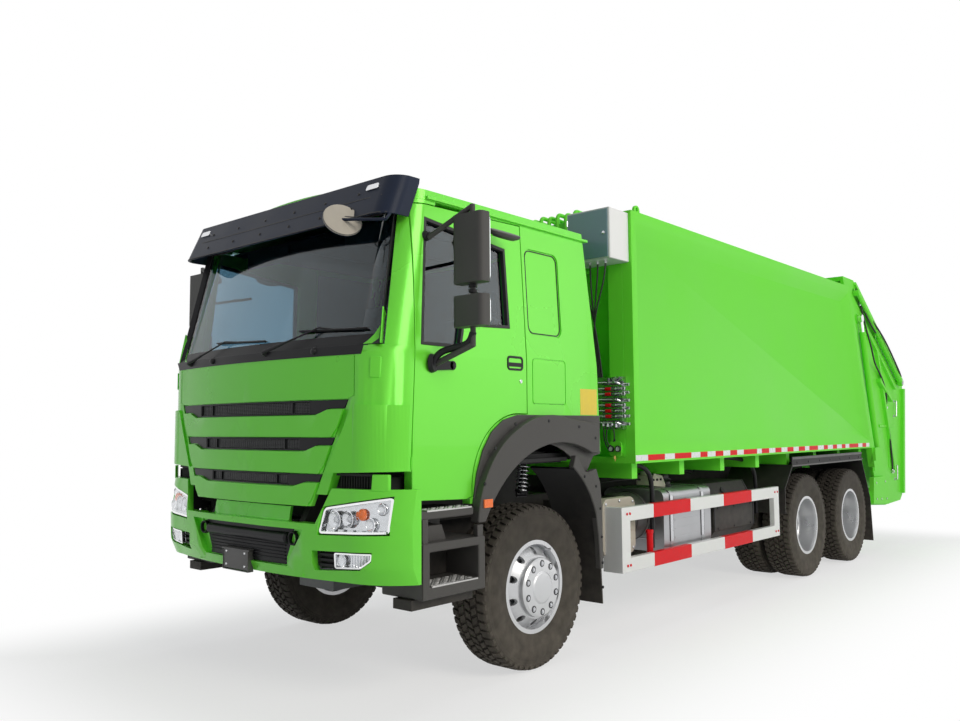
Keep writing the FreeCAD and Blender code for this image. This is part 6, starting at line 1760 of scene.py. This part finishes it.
@step
class TRUCK_OT_cabin(Operator):
    """Adds the cabin's linings, mat, instrument binnacle, gear lever and wheel details"""
    bl_idname = "truck.cabin"
    bl_label = "Cabin"

    def execute(self, context):
        # roof and rear wall lining, dark partly as painted shade of the cab's inside
        bm = bmesh.new()
        block(bm, at(-1.04, -0.9, 2.9), at(1.04, 0.54, 2.912))
        for x in (-0.52, 0.0, 0.52):
            block(bm, at(x - 0.012, -0.88, 2.892), at(x + 0.012, 0.52, 2.902))
        plate(bm, [at(-1.04, 0.64, 1.95), at(1.04, 0.64, 1.95), at(1.0, 0.575, 2.88),
                   at(-1.0, 0.575, 2.88)], (0, -0.012, 0))
        piece("headliner", bm, "cab", cabin_lining(), bevel=0.003, heal=False)
        bm = bmesh.new()
        block(bm, at(-1.05, -0.86, 1.401), at(1.05, 0.25, 1.409))
        for i in range(30):
            x = -1.02 + i * 0.07
            block(bm, at(x, -0.84, 1.408), at(x + 0.02, 0.23, 1.413))
        piece("floor_mat", bm, "cab", rubber_trim(), heal=False)
        # binnacle, vents and centre stack
        bm = bmesh.new()
        profile = [(-1.24, 2.012), (-0.905, 1.955), (-0.86, 1.99), (-0.875, 2.06), (-0.96, 2.11),
                   (-1.12, 2.1), (-1.22, 2.06)]
        plate(bm, upright(0.3, profile), (0.52, 0, 0))
        stack = ((-0.905, 1.7), (-0.85, 1.71), (-0.88, 1.945), (-0.915, 1.95))
        plate(bm, upright(-0.18, stack), (0.4, 0, 0))
        piece("binnacle", bm, "cab", cabin_trim(), bevel=0.018, segments=3)
        bm = bmesh.new()
        for x in (-0.92, -0.4, 0.28, 0.94):
            block(bm, at(x - 0.06, -0.898, 1.86), at(x + 0.06, -0.868, 1.93))
            for k in range(4):
                block(bm, at(x - 0.052, -0.872, 1.869 + k * 0.015),
                      at(x + 0.052, -0.862, 1.875 + k * 0.015))
        for x in (-0.12, -0.04, 0.04, 0.12):
            for z in (1.76, 1.82):
                rod(bm, at(x, -0.86, z), at(x, -0.838, z), 0.016, 16)
        piece("dash_vents", bm, "cab", black_trim(), bevel=0.003, heal=False)
        bm = bmesh.new()
        for x, r in ((0.47, 0.052), (0.6, 0.052), (0.7, 0.028), (0.38, 0.028)):
            turning(bm, [(0.0, r + 0.006), (0.008, r + 0.004), (0.008, r), (0.002, r - 0.004),
                         (0.002, 0.0)], at(x, -0.866, 2.02), 28, (0, 1, 0.2))
        piece("dash_dials", bm, "cab", bright_steel())
        bm = bmesh.new()
        rod(bm, at(0.12, -0.42, 1.405), at(0.13, -0.4, 1.905), 0.01, 12)
        turning(bm, [(-0.03, 0.0), (-0.026, 0.018), (0.0, 0.028), (0.022, 0.022), (0.03, 0.0)],
                at(0.13, -0.4, 1.915), 20, (0, 0, 1))
        turning(bm, [(0.0, 0.07), (0.02, 0.055), (0.06, 0.03), (0.09, 0.014), (0.09, 0.0)],
                at(0.12, -0.42, 1.409), 24, (0, 0, 1))
        for x in (0.44, 0.6, 0.7):
            rod(bm, at(x, -0.8, 1.55), at(x, -0.72, 1.44), 0.008, 8)
            block(bm, at(x - 0.035, -0.735, 1.425), at(x + 0.035, -0.72, 1.5))
        piece("gear_lever", bm, "cab", black_trim(), bevel=0.002, heal=False)
        # lower spokes of the steering wheel and the horn pad
        bm = bmesh.new()
        tilt = Matrix.Rotation(math.radians(46.5), 3, "X")
        hub = at(SEAT_X, -0.712, 2.004)
        for s in (-1, 1):
            rod(bm, hub + tilt @ Vector((s * 0.03, -0.04, 0.004)),
                hub + tilt @ Vector((s * 0.1, -0.19, 0.004)), 0.011, 10)
        rod(bm, hub + tilt @ Vector((0, 0, 0.012)), hub + tilt @ Vector((0, 0, 0.03)), 0.068, 28, 0.058)
        piece("horn_pad", bm, "cab", cabin_trim(), bevel=0.004, heal=False)
        for side in SIDES:
            # side lining, dark partly as painted shade of the cab's inside
            bm = bmesh.new()
            plate(bm, [at(1.105, -0.09, 1.46), at(1.105, 0.6, 1.46), at(1.105, 0.6, 2.05),
                       at(1.05, 0.55, 2.86), at(1.05, -0.09, 2.86), at(1.105, -0.09, 2.05)],
                  (-0.012, 0, 0))
            piece("side_lining", bm, "cab", cabin_lining(), side=side, bevel=0.003)
            bm = bmesh.new()
            plate(bm, [at(1.075, -0.045, 2.58), at(1.075, 0.005, 2.58), at(1.09, 0.005, 1.62),
                       at(1.09, -0.045, 1.62)], (-0.003, 0, 0))
            piece("seat_belt", bm, "cab", rubber_trim(), side=side)
        # sun blinds behind the windscreen's upper edge, in the dark lining that is partly painted shade
        bm = bmesh.new()
        for x in (-SEAT_X, SEAT_X):
            block(bm, at(x - 0.25, -0.93, 2.76), at(x + 0.25, -0.912, 2.88))
            rod(bm, at(x - 0.25, -0.921, 2.885), at(x + 0.25, -0.921, 2.885), 0.008, 10)
        piece("sun_blinds", bm, "cab", cabin_lining(), bevel=0.006, heal=False)
        return {"FINISHED"}


# ------------------------------------------------------------ stage
def area_lamp(name, place, aim, size, power, colour=(1, 1, 1)):
    lamp = bpy.data.lights.new(name, "AREA")
    lamp.shape = "RECTANGLE"
    lamp.size, lamp.size_y = size
    lamp.energy = power * settings().light_level
    lamp.color = colour
    made = bpy.data.objects.new(name, lamp)
    made.location = place
    made.rotation_euler = (Vector(aim) - Vector(place)).to_track_quat("-Z", "Y").to_euler()
    bpy.context.scene.collection.objects.link(made)
    return made


def direct_ray(tree):
    """1 for what the camera sees by itself, in a mirror or through glass, 0 for light that falls."""
    ray = tree.nodes.new("ShaderNodeLightPath").outputs
    seen = maths(tree, "MAXIMUM", ray["Is Camera Ray"], ray["Is Glossy Ray"])
    return maths(tree, "MAXIMUM", seen, ray["Is Transmission Ray"])


def pale_floor():
    """Matt floor that keeps the shadow and turns to plain white away from the truck."""
    made = finish("pale_floor", (0.93, 0.93, 0.93), rough=0.9, tone=0.01, grain=0.02, grain_scale=30.0)
    tree = made.node_tree
    white = node(tree, "Emission", "Emission", {"Color": WHITE, "Strength": 1.0})
    place = node(tree, "TexCoord", "Object")
    apart = tree.nodes.new("ShaderNodeSeparateXYZ")
    feed(tree, apart, {"Vector": place})
    reach = [maths(tree, "SUBTRACT", maths(tree, "ABSOLUTE", apart.outputs[axis]), half) for axis,
             half in (("X", 1.3), ("Y", 5.0))]
    fade = node(tree, "MapRange", "Result", {
        "Value": maths(tree, "MAXIMUM", *reach), "From Min": 0.0, "From Max": 1.6, "To Min": 0.6},
                interpolation_type="SMOOTHSTEP")
    share = maths(tree, "MULTIPLY", direct_ray(tree), fade)
    blend = node(tree, "MixShader", "Shader",
                 {"Fac": share, 1: tree.nodes["Principled BSDF"].outputs["BSDF"], 2: white})
    feed(tree, tree.nodes["Material Output"], {"Surface": blend})
    return made


@step
class TRUCK_OT_stage(Operator):
    """Sets up the pale floor, the soft lamps, the bright surround and the camera"""
    bl_idname = "truck.stage"
    bl_label = "Set the stage"

    def execute(self, context):
        scene = context.scene
        scene.view_settings.view_transform = "Standard"
        world = bpy.data.worlds.new("surround")
        world.use_nodes = True
        scene.world = world
        tree = world.node_tree
        tree.nodes.clear()
        soft = node(tree, "Background", "Background", {"Color": (0.8, 0.88, 1.0, 1.0), "Strength": 0.17})
        white = node(tree, "Background", "Background", {"Color": WHITE, "Strength": 1.0})
        mix = node(tree, "MixShader", "Shader", {"Fac": direct_ray(tree), 1: soft, 2: white})
        feed(tree, tree.nodes.new("ShaderNodeOutputWorld"), {"Surface": mix})

        bm = bmesh.new()
        bmesh.ops.create_grid(bm, x_segments=8, y_segments=8, size=60.0)
        mesh = bpy.data.meshes.new("studio_floor")
        bm.to_mesh(mesh)
        bm.free()
        floor = bpy.data.objects.new("studio_floor", mesh)
        scene.collection.objects.link(floor)
        mesh.materials.append(pale_floor())

        centre = Vector((0, 0, 1.6))
        area_lamp("key_lamp", (12.0, -5.0, 8.0), centre, (6, 6), 840, (1.0, 0.95, 0.86))
        area_lamp("fill_lamp", (-6.0, -13.0, 6.0), centre, (8, 6), 25, (0.9, 0.95, 1.0))
        area_lamp("side_lamp", (13.0, 7.0, 5.0), centre, (10, 8), 330, (1.0, 0.98, 0.94))
        area_lamp("top_lamp", (0.0, 2.5, 13.0), centre, (8, 9), 420)
        area_lamp("back_lamp", (-4.0, 14.0, 8.0), centre, (8, 6), 160)

        yaw, pitch, roll = math.radians(41.41), math.radians(4.48), math.radians(-0.346)
        ahead = Vector((-math.sin(yaw) * math.cos(pitch), math.cos(yaw) * math.cos(pitch),
                        math.sin(pitch)))
        lens = bpy.data.cameras.new("camera")
        lens.sensor_width = 36.0
        lens.lens = 32.1
        lens.clip_end = 300.0
        camera = bpy.data.objects.new("camera", lens)
        camera.location = at(4.672, -4.531, 1.579)
        level = ahead.to_track_quat("-Z", "Y").to_matrix()
        camera.rotation_euler = (level @ Matrix.Rotation(roll, 3, "Z")).to_euler()
        scene.collection.objects.link(camera)
        scene.camera = camera
        return {"FINISHED"}


# ------------------------------------------------------------ panel and run
class TRUCK_PT_dress(Panel):
    """Lists the steps that dress the truck"""
    bl_idname = "TRUCK_PT_dress"
    bl_label = "Garbage truck"
    bl_space_type = "VIEW_3D"
    bl_region_type = "UI"
    bl_category = "Truck"

    def draw(self, context):
        column = self.layout.column()
        for name in TruckSettings.__annotations__:
            column.prop(context.scene.truck_dress, name)
        for operator in OPERATORS:
            column.operator(operator.bl_idname)


def register():
    bpy.utils.register_class(TruckSettings)
    bpy.types.Scene.truck_dress = PointerProperty(type=TruckSettings)
    for operator in OPERATORS:
        bpy.utils.register_class(operator)
    bpy.utils.register_class(TRUCK_PT_dress)


def unregister():
    bpy.utils.unregister_class(TRUCK_PT_dress)
    for operator in reversed(OPERATORS):
        bpy.utils.unregister_class(operator)
    del bpy.types.Scene.truck_dress
    bpy.utils.unregister_class(TruckSettings)


def main():
    register()
    for operator in OPERATORS:
        group, name = operator.bl_idname.split(".")
        getattr(getattr(bpy.ops, group), name)()


if __name__ == "__main__":
    main()
